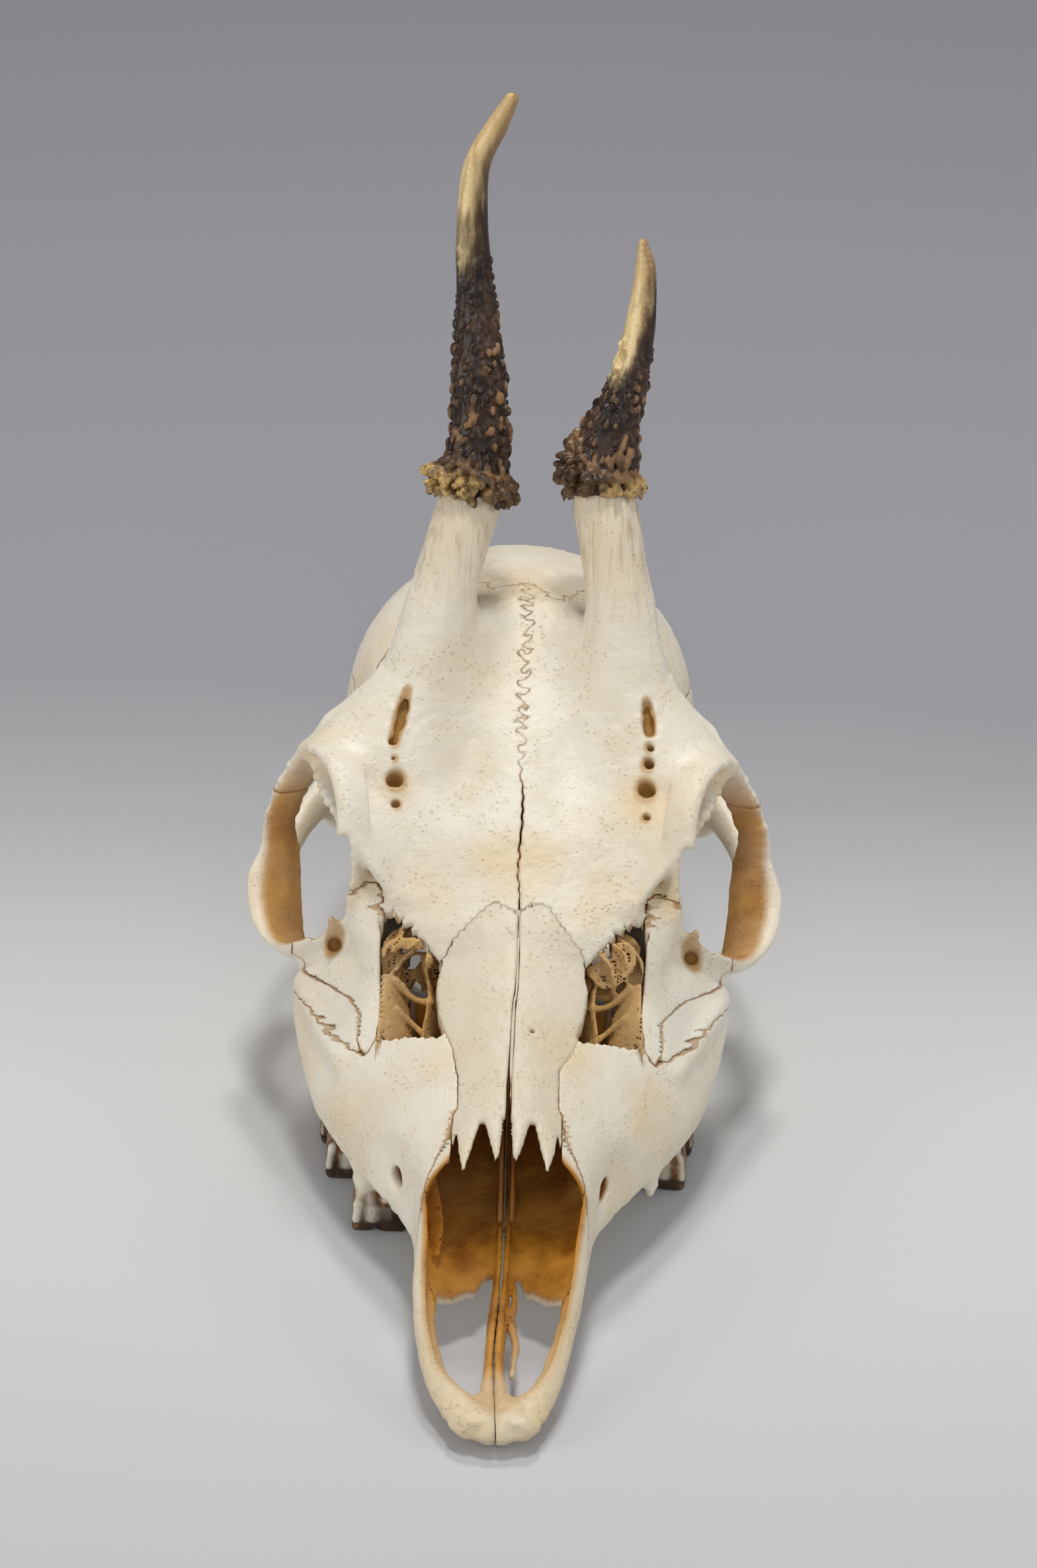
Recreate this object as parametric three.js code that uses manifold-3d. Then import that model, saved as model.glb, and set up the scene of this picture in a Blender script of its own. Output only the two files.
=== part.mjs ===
// Roe deer skull without the lower jaw: a yearling buck with two unbranched spike antlers.
// Millimetres, +Z up. The muzzle points along -Y, and the animal's left side is +X.
// The skull stands on its cheek teeth and on the tips of its jugular processes.
// It is modelled whole, from lofts, tubes and ellipsoids, and then parted along its sutures.
import * as THREE from "three";
import { mergeVertices } from "three/addons/utils/BufferGeometryUtils.js";
import Module from "manifold-3d";

const wasm = await Module();
wasm.setup();

// ---- Driving dimensions -------------------------------------------------------------------
// y runs back from the muzzle tip, and z up from the surface that the teeth stand on.

const KERF = 0.3; // width of the gap at a suture
const WIDE = 70; // beyond the skull on any side
const CROWN = 9; // height of the tooth crowns below the bone

// Outer form. Each station is a cross-section: a rounded outline between its top and bottom,
// half as wide as "half" at the height "waist", squarer as "upper" and "lower" grow.
const FACE = [
  { y: 0.0, top: 4.4, bottom: 2.4, half: 2.4, waist: 3.2, upper: 2.0, lower: 2.0 },
  { y: 2.0, top: 5.4, bottom: 1.6, half: 7.0, waist: 3.4, upper: 2.2, lower: 2.0 },
  { y: 7.0, top: 6.6, bottom: 1.8, half: 9.8, waist: 4.2, upper: 2.4, lower: 2.2 },
  { y: 15.0, top: 10.0, bottom: 2.8, half: 11.6, waist: 6.4, upper: 2.6, lower: 2.4 },
  { y: 25.0, top: 16.0, bottom: 4.4, half: 13.0, waist: 10.0, upper: 3.0, lower: 2.4 },
  { y: 34.0, top: 23.0, bottom: 6.2, half: 13.8, waist: 14.0, upper: 2.8, lower: 2.4 },
  { y: 42.0, top: 31.0, bottom: 7.8, half: 15.2, waist: 15.5, upper: 2.2, lower: 2.8 },
  { y: 48.0, top: 33.0, bottom: 8.6, half: 17.4, waist: 15.5, upper: 1.9, lower: 3.2 },
  { y: 57.0, top: 35.8, bottom: 9.0, half: 22.2, waist: 15.5, upper: 1.75, lower: 3.4 },
  { y: 66.0, top: 38.8, bottom: 9.0, half: 27.0, waist: 15.5, upper: 1.6, lower: 3.6 },
  { y: 76.0, top: 41.4, bottom: 9.0, half: 31.4, waist: 16.0, upper: 1.55, lower: 3.4 },
  { y: 86.0, top: 43.8, bottom: 9.0, half: 34.4, waist: 19.0, upper: 1.6, lower: 2.4 },
  { y: 94.0, top: 46.6, bottom: 9.0, half: 36.0, waist: 23.0, upper: 1.7, lower: 1.8 },
  { y: 101.0, top: 50.0, bottom: 9.4, half: 35.4, waist: 25.0, upper: 1.8, lower: 1.5 },
  { y: 108.0, top: 52.0, bottom: 11.0, half: 30.0, waist: 27.0, upper: 1.8, lower: 1.4 },
];
const CRANIUM = [
  { y: 84.0, top: 43.0, bottom: 24.0, half: 22.0, waist: 34.0, upper: 2.2, lower: 2.0 },
  { y: 93.0, top: 47.6, bottom: 22.0, half: 27.2, waist: 41.0, upper: 2.8, lower: 1.6 },
  { y: 102.0, top: 53.2, bottom: 22.0, half: 30.4, waist: 47.5, upper: 3.4, lower: 1.4 },
  { y: 112.0, top: 59.0, bottom: 22.0, half: 32.8, waist: 53.0, upper: 3.6, lower: 1.3 },
  { y: 120.0, top: 63.6, bottom: 23.0, half: 34.4, waist: 55.5, upper: 3.0, lower: 1.3 },
  { y: 127.0, top: 67.8, bottom: 24.0, half: 29.0, waist: 57.0, upper: 2.3, lower: 1.6 },
  { y: 135.0, top: 72.2, bottom: 24.0, half: 26.5, waist: 53.0, upper: 2.1, lower: 2.0 },
  { y: 144.0, top: 75.2, bottom: 23.4, half: 28.4, waist: 49.0, upper: 2.1, lower: 2.1 },
  { y: 154.0, top: 75.8, bottom: 22.6, half: 30.2, waist: 47.0, upper: 2.1, lower: 2.2 },
  { y: 165.0, top: 74.0, bottom: 21.8, half: 29.6, waist: 45.0, upper: 2.1, lower: 2.2 },
  { y: 174.0, top: 70.6, bottom: 21.0, half: 27.4, waist: 43.0, upper: 2.1, lower: 2.2 },
  { y: 181.0, top: 66.8, bottom: 21.0, half: 24.0, waist: 41.0, upper: 2.2, lower: 2.2 },
  { y: 186.0, top: 58.0, bottom: 22.0, half: 18.0, waist: 39.0, upper: 2.2, lower: 2.2 },
];

// Hollow of the nose, open in front and along the top of the muzzle.
const NOSE_HOLLOW = [
  { y: 4.0, top: 20.0, bottom: 6.8, half: 3.0, waist: 9.0, upper: 3.0, lower: 2.4 },
  { y: 12.0, top: 26.0, bottom: 7.0, half: 8.2, waist: 10.0, upper: 4.0, lower: 2.6 },
  { y: 25.0, top: 36.0, bottom: 8.0, half: 10.8, waist: 13.0, upper: 4.0, lower: 2.8 },
  { y: 36.0, top: 38.0, bottom: 9.4, half: 12.0, waist: 16.0, upper: 4.0, lower: 2.8 },
  { y: 41.0, top: 30.5, bottom: 10.4, half: 12.8, waist: 16.5, upper: 2.6, lower: 2.8 },
  { y: 50.0, top: 31.2, bottom: 11.4, half: 15.6, waist: 17.0, upper: 2.0, lower: 2.8 },
  { y: 64.0, top: 35.6, bottom: 12.0, half: 20.0, waist: 18.0, upper: 1.8, lower: 2.6 },
  { y: 76.0, top: 38.6, bottom: 12.4, half: 22.0, waist: 20.0, upper: 1.9, lower: 2.4 },
  { y: 86.0, top: 39.6, bottom: 15.0, half: 21.0, waist: 26.0, upper: 2.4, lower: 2.2 },
];
// The gap between the nasal, frontal, lacrimal and maxilla, seen from above.
const GAP_OUTLINE = [[11.8, 71], [15.5, 69.4], [19.6, 71], [21.2, 87.4], [18.4, 87.6], [13.4, 81.6]];

// Orbit: a ring of bone round an eye socket that looks sideways, a little forward and up.
const ORBIT_CENTRE = new THREE.Vector3(34.4, 110, 43.8);
const ORBIT_AXIS = new THREE.Vector3(0.895, -0.323, 0.309).normalize();
const ORBIT_RADIUS = 17.4; // to the middle of the ring's bone
const SOCKET_RADIUS = 16.0;
const SOCKET_DEPTH = 22;
const RIM_THICK = 1.7; // half the ring's thickness
const RIM_WIDE = 4.2; // half its width behind
const RIM_NARROW = 2.6; // half its width in front

// Pedicles, and the spike antlers on them. The animal's right one, at -X, is the longer.
const SPIKES = [
  {
    name: "antler_right",
    pedicle: [[-17, 128, 62], [-15.4, 133, 72.5], [-13.2, 139.5, 81.5], [-9.9, 147.8, 92.4]],
    route: [
      [-9.0, 151, 100],
      [-9.1, 155, 112],
      [-9.9, 158.4, 123],
      [-10.9, 160.8, 134],
      [-10.6, 162.2, 145.6],
      [-7.6, 162.4, 153],
      [-4.9, 162, 158.8],
    ],
    girth: [5.6, 8.2, 5.8, 4.7, 3.7, 2.8, 2.2, 1.8, 1.1],
  },
  {
    name: "antler_left",
    pedicle: [[18.6, 128, 62], [17.6, 133, 72.5], [15.6, 139.5, 82], [12.6, 147.8, 93]],
    route: [
      [12.8, 151, 100.8],
      [14.6, 152.8, 107],
      [16.7, 155.4, 114],
      [17.9, 157.6, 121.5],
      [18.3, 159.4, 129],
      [17.7, 160, 134.9],
    ],
    girth: [5.2, 7.4, 6.3, 4.2, 2.9, 2.3, 1.6, 0.9],
  },
];
const PEDICLE_GIRTH = [9.0, 6.8, 5.8, 5.0, 5.2];
const SEAT_LENGTH = 2.6; // the stretch at each end of the joint where pedicle and antler are in line

// Cheek teeth, on a row that bows outwards. Those that have fallen out leave their sockets.
const TEETH = [
  { y: 64.4, long: 8.2, wide: 8.2, sides: [-1] },
  { y: 80.4, long: 10.2, wide: 9.8, sides: [-1, 1] },
  { y: 91.2, long: 11.0, wide: 10.6, sides: [-1, 1] },
  { y: 101.8, long: 10.2, wide: 10.0, sides: [-1, 1] },
];
const LOST_TEETH = [
  { y: 54.6, side: -1 },
  { y: 54.6, side: 1 },
  { y: 63.6, side: 1 },
  { y: 72.0, side: -1 },
  { y: 72.0, side: 1 },
];
const rowMiddle = (y) => 12.5 + 13 * Math.sin((Math.PI / 2) * Math.min(1, (y - 46) / 46));

// ---- Shapes -------------------------------------------------------------------------------

/** A manifold solid from a closed three.js geometry, turned the right way out. */
function solid(geometry) {
  const bare = geometry.clone();
  for (const name of Object.keys(bare.attributes)) {
    if (name !== "position") bare.deleteAttribute(name);
  }
  const merged = mergeVertices(bare, 1e-4);
  const vertProperties = Float32Array.from(merged.attributes.position.array);
  const make = (triVerts) => new wasm.Manifold(new wasm.Mesh({ numProp: 3, vertProperties, triVerts }));
  const made = make(Uint32Array.from(merged.index.array));
  if (made.volume() > 0) return made;
  return make(Uint32Array.from(merged.index.array).reverse());
}

/** A closed solid through rings of equally many points, capped at both ends. */
function loft(rings) {
  const count = rings[0].length;
  const points = rings.flat();
  const faces = [];
  for (let r = 0; r + 1 < rings.length; r++) {
    for (let i = 0; i < count; i++) {
      const a = r * count + i;
      const b = r * count + ((i + 1) % count);
      faces.push(a, b, a + count, b, b + count, a + count);
    }
  }
  const cap = (start, flip) => {
    const middle = points.length;
    const centre = new THREE.Vector3();
    for (let i = 0; i < count; i++) centre.addScaledVector(points[start + i], 1 / count);
    points.push(centre);
    for (let i = 0; i < count; i++) {
      const a = start + i;
      const b = start + ((i + 1) % count);
      faces.push(...(flip ? [b, a, middle] : [a, b, middle]));
    }
  };
  cap(0, true);
  cap((rings.length - 1) * count, false);
  const geometry = new THREE.BufferGeometry().setFromPoints(points);
  geometry.setIndex(faces);
  return solid(geometry);
}

/** A body whose cross-sections along Y are the stations. */
function body(stations, sides) {
  const made = stations.map((at) => {
    const ring = [];
    for (let i = 0; i < sides; i++) {
      const turn = (2 * Math.PI * (i + 0.5)) / sides;
      const [c, s] = [Math.cos(turn), Math.sin(turn)];
      const power = 2 / (s > 0 ? at.upper : at.lower);
      const reach = s > 0 ? at.top - at.waist : at.waist - at.bottom;
      const x = Math.sign(c) * at.half * Math.abs(c) ** power;
      ring.push(new THREE.Vector3(x, at.y, at.waist + Math.sign(s) * reach * Math.abs(s) ** power));
    }
    return ring;
  });
  return loft(made);
}

/** A tube along points. Each has a half-width along "wide" and a half-thickness across it. */
function tube(points, widths, thicknesses, wide, steps, sides) {
  const curve = new THREE.CatmullRomCurve3(points.map((p) => new THREE.Vector3(...p)));
  const pick = (list, t) => {
    const place = t * (list.length - 1);
    const i = Math.min(Math.floor(place), list.length - 2);
    return THREE.MathUtils.lerp(list[i], list[i + 1], place - i);
  };
  const rings = [];
  for (let r = 0; r <= steps; r++) {
    const t = r / steps;
    const centre = curve.getPoint(t);
    const ahead = curve.getTangent(t);
    const across = wide.clone().addScaledVector(ahead, -wide.dot(ahead)).normalize();
    const through = new THREE.Vector3().crossVectors(ahead, across);
    const ring = [];
    for (let i = 0; i < sides; i++) {
      const turn = (2 * Math.PI * (i + 0.5)) / sides;
      ring.push(
        centre
          .clone()
          .addScaledVector(across, Math.cos(turn) * pick(widths, t))
          .addScaledVector(through, Math.sin(turn) * pick(thicknesses, t)),
      );
    }
    rings.push(ring);
  }
  return loft(rings);
}

/** An ellipsoid, turned so that its z axis lies along "axis". */
function ellipsoid(centre, radii, axis = new THREE.Vector3(0, 0, 1), detail = 14) {
  const geometry = new THREE.SphereGeometry(1, detail, Math.round(detail * 0.6));
  geometry.scale(...radii);
  const turn = new THREE.Quaternion().setFromUnitVectors(new THREE.Vector3(0, 0, 1), axis);
  geometry.applyQuaternion(turn);
  geometry.translate(...centre);
  return solid(geometry);
}

/** A rod between two points, for foramina and other small passages. */
function rod(from, to, radius, sides = 8) {
  const [a, b] = [new THREE.Vector3(...from), new THREE.Vector3(...to)];
  const geometry = new THREE.CylinderGeometry(radius, radius, a.distanceTo(b), sides);
  const ahead = b.clone().sub(a).normalize();
  geometry.applyQuaternion(new THREE.Quaternion().setFromUnitVectors(new THREE.Vector3(0, 1, 0), ahead));
  geometry.translate(...a.add(b).multiplyScalar(0.5));
  return solid(geometry);
}

function block(low, high) {
  const size = high.map((h, i) => h - low[i]);
  const geometry = new THREE.BoxGeometry(...size);
  geometry.translate(...low.map((l, i) => l + size[i] / 2));
  return solid(geometry);
}

/** An outline grown outwards by a distance; its corners run anticlockwise. */
function grown(outline, distance) {
  return outline.map(([x, y], i) => {
    const before = outline[(i + outline.length - 1) % outline.length];
    const after = outline[(i + 1) % outline.length];
    const normal = (p, q) => new THREE.Vector2(q[1] - p[1], p[0] - q[0]).normalize();
    const [n, m] = [normal(before, [x, y]), normal([x, y], after)];
    const out = n.clone().add(m);
    const reach = distance / Math.max(0.4, (1 + n.dot(m)) / 2) / 2;
    return [x + out.x * reach, y + out.y * reach];
  });
}

/** A prism on an outline: seen from above, along Z, or seen from the side, along X. Its ends
 *  may climb by "rise" for each step of y from the place "from". */
function prism(outline, axis, low, high, rise = 0, from = 0) {
  const shape = new THREE.Shape(outline.map((p) => new THREE.Vector2(...p)));
  const geometry = new THREE.ExtrudeGeometry(shape, { depth: high - low, bevelEnabled: false });
  geometry.translate(0, 0, low);
  if (axis === "x") {
    // (y, z, x) becomes (x, y, z).
    geometry.applyMatrix4(new THREE.Matrix4().set(0, 0, 1, 0, 1, 0, 0, 0, 0, 1, 0, 0, 0, 0, 0, 1));
  }
  if (rise) {
    const climb = new THREE.Matrix4().set(1, 0, 0, 0, 0, 1, 0, 0, 0, rise, 1, -rise * from, 0, 0, 0, 1);
    geometry.applyMatrix4(climb);
  }
  return solid(geometry);
}

const joined = (solids) => solids.reduce((all, one) => all.add(one));
const mirrored = (outline) => outline.map(([x, y]) => [-x, y]).reverse();

// ---- The whole skull ----------------------------------------------------------------------

const UP = new THREE.Vector3(0, 0, 1);
const ACROSS = new THREE.Vector3(1, 0, 0);
const AHEAD = new THREE.Vector3(0, 1, 0);
const flip = (points, side) => points.map(([x, y, z]) => [side * x, y, z]);

/** The top of a pedicle, and the way it points. */
function seatOf({ pedicle }) {
  const [before, seat] = pedicle.slice(-2).map((p) => new THREE.Vector3(...p));
  return { seat, lean: seat.clone().sub(before).normalize() };
}

function pedicle(spike) {
  const { seat, lean } = seatOf(spike);
  const neck = seat.clone().addScaledVector(lean, -SEAT_LENGTH).toArray();
  const route = [...spike.pedicle.slice(0, -1), neck, seat.toArray()];
  return tube(route, PEDICLE_GIRTH, PEDICLE_GIRTH, ACROSS, 6, 10);
}

/** The centre of one eye socket, and the way it looks. */
function orbitFrame(side) {
  const centre = ORBIT_CENTRE.clone();
  centre.x *= side;
  const axis = ORBIT_AXIS.clone();
  axis.x *= side;
  return { centre, axis };
}

/** The bony ring round one eye socket: narrow in front, broad at the bar behind. */
function orbitRing(side) {
  const steps = 16;
  const sides = 6;
  const { centre, axis } = orbitFrame(side);
  const back = AHEAD.clone().addScaledVector(axis, -axis.y).normalize();
  const up = new THREE.Vector3().crossVectors(back, axis).normalize();
  const points = [];
  const faces = [];
  for (let r = 0; r < steps; r++) {
    const turn = (2 * Math.PI * r) / steps;
    const out = back.clone().multiplyScalar(Math.cos(turn)).addScaledVector(up, Math.sin(turn));
    const wide = THREE.MathUtils.lerp(RIM_NARROW, RIM_WIDE, (1 + Math.cos(turn)) / 2);
    for (let i = 0; i < sides; i++) {
      const round = (2 * Math.PI * i) / sides;
      const point = centre.clone().addScaledVector(out, ORBIT_RADIUS + RIM_THICK * Math.cos(round));
      points.push(point.addScaledVector(axis, wide * Math.sin(round)));
      const next = (i + 1) % sides;
      const [a, b] = [r * sides + i, r * sides + next];
      const [c, d] = [((r + 1) % steps) * sides + i, ((r + 1) % steps) * sides + next];
      faces.push(a, b, c, b, d, c);
    }
  }
  const geometry = new THREE.BufferGeometry().setFromPoints(points);
  geometry.setIndex(faces);
  return solid(geometry);
}

function socket(side) {
  const { centre, axis } = orbitFrame(side);
  return ellipsoid(centre.toArray(), [SOCKET_RADIUS, SOCKET_RADIUS, SOCKET_DEPTH], axis, 11);
}

/** The arch from the back of the orbit's ring to the side of the braincase. */
function cheekArch(side) {
  const route = [[40.5, 119, 31], [40.6, 128, 29.6], [38.4, 139, 31], [34.0, 148, 33.6], [26.0, 156, 36]];
  return tube(flip(route, side), [4.6, 3.2, 2.8, 3.4, 4.2], [2.2, 1.7, 1.8, 2.4, 3.0], UP, 6, 6);
}

/** A cheek tooth: a crown that is waisted at its neck and worn flat below. */
function tooth({ y, long, wide }, side) {
  const middle = side * rowMiddle(y);
  const rings = [[0, 0.86], [CROWN * 0.4, 1], [CROWN + 3, 0.8]].map(([z, scale]) => {
    const ring = [];
    for (let i = 0; i < 6; i++) {
      const turn = (2 * Math.PI * (i + 0.5)) / 6;
      const [c, s] = [Math.cos(turn), Math.sin(turn)];
      const x = middle + (Math.sign(c) * Math.abs(c) ** 0.6 * wide * scale) / 2;
      ring.push(new THREE.Vector3(x, y + (Math.sign(s) * Math.abs(s) ** 0.6 * long * scale) / 2, z));
    }
    return ring;
  });
  return loft(rings);
}

/** The hollow of the palate between the tooth rows, and the passage behind it. */
function palateHollow() {
  const middles = [[0, 38, 4.6], [0, 60, 5.2], [0, 80, 5.4], [0, 104, 6.0], [0, 113, 7]];
  const vault = tube(middles, [7, 11, 15.5, 17, 17], [3.0, 5.2, 6.2, 6.6, 6.6], ACROSS, 5, 8);
  return vault.add(ellipsoid([0, 120, 14], [6.4, 17, 11], UP, 8));
}

/** The thin wings under the skull, behind the palate. */
function pterygoid(side) {
  const route = flip([[8.2, 102, 17], [8.0, 113, 17.5], [7.6, 124, 18.5], [7.0, 134, 20.5]], side);
  return tube(route, [6.0, 7.0, 7.0, 5.0], [1.7, 1.3, 1.2, 1.5], UP, 4, 6);
}

/** The ear's drum and tube, the condyle, the jugular process and the nuchal crest of a side. */
function rearUnderside(side) {
  const drum = ellipsoid([side * 14.5, 157, 19.5], [6.0, 9.0, 7.0], UP, 7);
  const ear = flip([[18, 157, 23], [25, 156, 27], [29.5, 156, 29]], side);
  const earTube = tube(ear, [4.4, 3.8, 3.4], [4.4, 3.6, 3.0], AHEAD, 2, 8);
  const condyle = ellipsoid([side * 9.6, 185.4, 27], [6.2, 7.2, 7.4], UP, 7);
  const process = flip([[18.6, 173, 33], [20.6, 171.6, 17], [19.8, 170, 7], [18.6, 169, -2]], side);
  const jugular = tube(process, [4.6, 3.6, 2.8, 1.9], [3.4, 2.4, 1.9, 1.5], AHEAD, 4, 6);
  const ridge = flip([[-0.6, 181.5, 65.2], [11, 181.4, 61.5], [20.6, 179.5, 52.5], [24.6, 176, 40]], side);
  const crest = tube(ridge, [1.8, 1.8, 2.0, 2.4], [2.8, 2.8, 2.8, 2.6], UP, 4, 6);
  return joined([drum, earTube, condyle, jugular, crest]);
}

/** The two prongs in which the nasal bone of a side ends, over the opening of the nose. */
function nasalProngs(side) {
  const outer = flip([[6.9, 46, 31.0], [6.7, 41, 29.8], [6.3, 37, 29.2]], side);
  const inner = flip([[1.5, 47, 32.2], [1.4, 42.5, 31.0], [1.3, 38, 29.8]], side);
  const thicknesses = [0.8, 0.7, 0.6];
  const long = tube(outer, [1.9, 1.5, 0.7], thicknesses, ACROSS, 2, 6);
  return long.add(tube(inner, [1.2, 0.9, 0.5], thicknesses, ACROSS, 2, 6));
}

/** The bar of bone on one side of the middle of the palate, between the front openings. */
function palateBar(side) {
  const route = flip([[1.5, 5, 3.8], [1.5, 16, 5.6], [1.7, 26, 7.4], [1.8, 38, 9.6]], side);
  return tube(route, [1.5, 1.6, 1.9, 2.2], [1.3, 1.3, 1.4, 1.7], UP, 3, 6);
}

/** The blade along the middle of the nose, and the scrolls that show through the gaps. */
function noseInside() {
  const middles = [[0, 34, 12.5], [0, 48, 15], [0, 64, 19], [0, 90, 25]];
  const blade = tube(middles, [1.4, 3.4, 5.0, 6.0], [0.9, 1.1, 1.3, 1.6], UP, 3, 6);
  const scrolls = [-1, 1].map((side) => {
    const route = flip([[8.5, 62, 22], [11.5, 71, 26], [13.5, 80, 30], [14.0, 90, 33]], side);
    return tube(route, [1.8, 3.6, 4.6, 5.0], [1.0, 1.6, 2.4, 3.0], UP, 3, 6);
  });
  return joined([blade, ...scrolls]);
}

function foramina(side) {
  const browHole = rod([side * 19.6, 112, 66], [side * 19.6, 114, 53], 1.6, 6);
  const faceHole = rod([side * 23, 45, 17], [side * 15, 56, 19], 1.5, 6);
  return browHole.add(faceHole);
}

function wholeSkull() {
  const solids = [body(FACE, 14), body(CRANIUM, 14)];
  for (const side of [-1, 1]) solids.push(orbitRing(side), cheekArch(side), rearUnderside(side));
  for (const spike of SPIKES) solids.push(pedicle(spike));
  // Everything ends at the surface that the skull stands on.
  const below = block([-WIDE, 0, -20], [WIDE, 200, 0]);
  const neckHole = ellipsoid([0, 188, 31], [8.5, 11, 6.5], UP, 7);
  const cuts = [below, neckHole, body(NOSE_HOLLOW, 8), palateHollow()];
  for (const side of [-1, 1]) {
    const outline = side > 0 ? GAP_OUTLINE : mirrored(GAP_OUTLINE);
    cuts.push(socket(side), foramina(side), prism(outline, "z", 27, 60));
  }
  for (const { y, side } of LOST_TEETH) {
    cuts.push(rod([side * rowMiddle(y), y, 0], [side * rowMiddle(y), y, CROWN + 5], 2.9, 6));
  }
  // The fissures of the palate, on both sides of its middle bars.
  const fissure = [[3.0, 9], [6.0, 10], [8.6, 17], [9.6, 24], [9.2, 30], [3.0, 35]];
  for (const side of [-1, 1]) {
    cuts.push(prism(side > 0 ? fissure : mirrored(fissure), "z", -2, 14));
  }
  const inner = [noseInside()];
  for (const side of [-1, 1]) inner.push(palateBar(side), pterygoid(side), nasalProngs(side));
  for (const one of TEETH) inner.push(...one.sides.map((side) => tooth(one, side)));
  return joined(solids).subtract(joined(cuts)).add(joined(inner));
}

// ---- Bones --------------------------------------------------------------------------------

/** A region for parting: the same outline for both sides, its floor rising with y if asked. */
function region({ outline, axis = "z", low, high, from = 0, rise = 0 }, side, grow) {
  const edge = side < 0 && axis === "z" ? mirrored(outline) : outline;
  const [a, b] = axis === "x" && side < 0 ? [-high, -low] : [low, high];
  return prism(grow ? grown(edge, grow) : edge, axis, a - grow, b + grow, rise, from);
}

const NASAL = {
  low: 26,
  high: WIDE,
  outline: [
    [0.15, 36], [9.2, 36], [9.2, 44], [9.2, 50],
    [10.4, 58], [12.6, 72], [12.2, 78], [5, 88], [0.15, 89.6],
  ],
};
const NOSE_INSIDE = [
  { low: 14.6, high: 38.2, outline: [[0, 62], [17.6, 62], [17.6, 93], [0, 93]] },
  { low: 11.2, high: 30, outline: [[0, 30], [2.2, 30], [2.2, 63], [0, 63]] },
];
const PREMAXILLA = {
  axis: "x",
  low: KERF / 2,
  high: WIDE,
  outline: [[-5, -5], [21.5, -5], [24.5, 5.5], [31, 10], [47, 25.5], [46.5, 40], [-5, 40]],
};
const LACRIMAL = {
  low: 23,
  high: WIDE,
  from: 69,
  rise: 0.3,
  outline: [[17, 88.8], [17, 69], [21, 68.4], [26, 73], [34.5, 88], [34.8, 95], [30, 98], [27, 95]],
};
const FRONTAL = {
  low: 39,
  high: 2 * WIDE,
  from: 81,
  rise: 0.16,
  outline: [
    [0.15, 90], [5.3, 88.4], [12.6, 78.4], [14.2, 83.6], [19, 89], [27, 95.4], [31, 98.4],
    [60, 98], [60, 128], [27.5, 138], [20, 143], [12, 147], [0.15, 148],
  ],
};
const ZYGOMATIC = [
  { low: 24, high: 60, outline: [[26, 72.4], [34.8, 80], [60, 90], [60, 132], [36, 132], [31.5, 122], [30.5, 104], [34.8, 96]] },
  { low: 10, high: 60, outline: [[36, 102], [60, 98], [60, 132], [36, 132], [31.5, 122]] },
];
const TEMPORAL = [
  {
    axis: "x",
    low: 17.5,
    high: 60,
    outline: [[127, 23], [169, 21], [174, 36], [166, 51], [150, 55], [134, 51], [127, 44]],
  },
  { low: 8, high: 40, outline: [[7.6, 147], [32, 147], [32, 165], [24, 167], [7.6, 167]] },
];
const PARIETAL = {
  axis: "x",
  low: -WIDE,
  high: WIDE,
  outline: [[146, 54], [168, 52], [177, 58], [182, 90], [140, 90]],
};
const OCCIPITAL = {
  axis: "x",
  low: -WIDE,
  high: WIDE,
  outline: [[160, -5], [220, -5], [220, 90], [184, 90], [178, 60], [175, 52], [170, 26], [160, 18]],
};
const MAXILLA = {
  axis: "x",
  low: KERF / 2,
  high: WIDE,
  outline: [[10, -5], [113, -5], [111, 17], [100, 24], [94, 34], [90, 60], [10, 60]],
};

/** The largest piece of a solid, without the crumbs that a cut leaves. */
function largest(made) {
  return made.decompose().sort((a, b) => b.volume() - a.volume())[0];
}

/** Parts the skull bone by bone, in turn. Each cut leaves a gap as wide as KERF. */
function bones(skull) {
  const made = {};
  let rest = skull;
  const part = (name, places) => {
    const cut = (grow) => joined(places.map(([place, side]) => region(place, side, grow)));
    made[name] = largest(rest.intersect(cut(0)));
    rest = rest.subtract(cut(KERF));
  };
  const pair = (name, places) => {
    part(`${name}_left`, places.map((place) => [place, 1]));
    part(`${name}_right`, places.map((place) => [place, -1]));
  };
  pair("nasal", [NASAL]);
  part("vomer_ethmoid", NOSE_INSIDE.flatMap((place) => [[place, 1], [place, -1]]));
  pair("premaxilla", [PREMAXILLA]);
  pair("lacrimal", [LACRIMAL]);
  pair("frontal", [FRONTAL]);
  pair("zygomatic", ZYGOMATIC);
  pair("temporal", TEMPORAL);
  part("parietal", [[PARIETAL, 1]]);
  part("occipital", [[OCCIPITAL, 1]]);
  pair("maxilla", [MAXILLA]);
  made.skull_base = largest(rest);
  return made;
}

/** A spike antler, which starts a suture's width above its pedicle with the ring of the burr. */
function antler(spike) {
  const { seat, lean } = seatOf(spike);
  const foot = [KERF * 1.2, SEAT_LENGTH].map((rise) => seat.clone().addScaledVector(lean, rise).toArray());
  return tube([...foot, ...spike.route], spike.girth, spike.girth, ACROSS, 11, 9);
}

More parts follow.
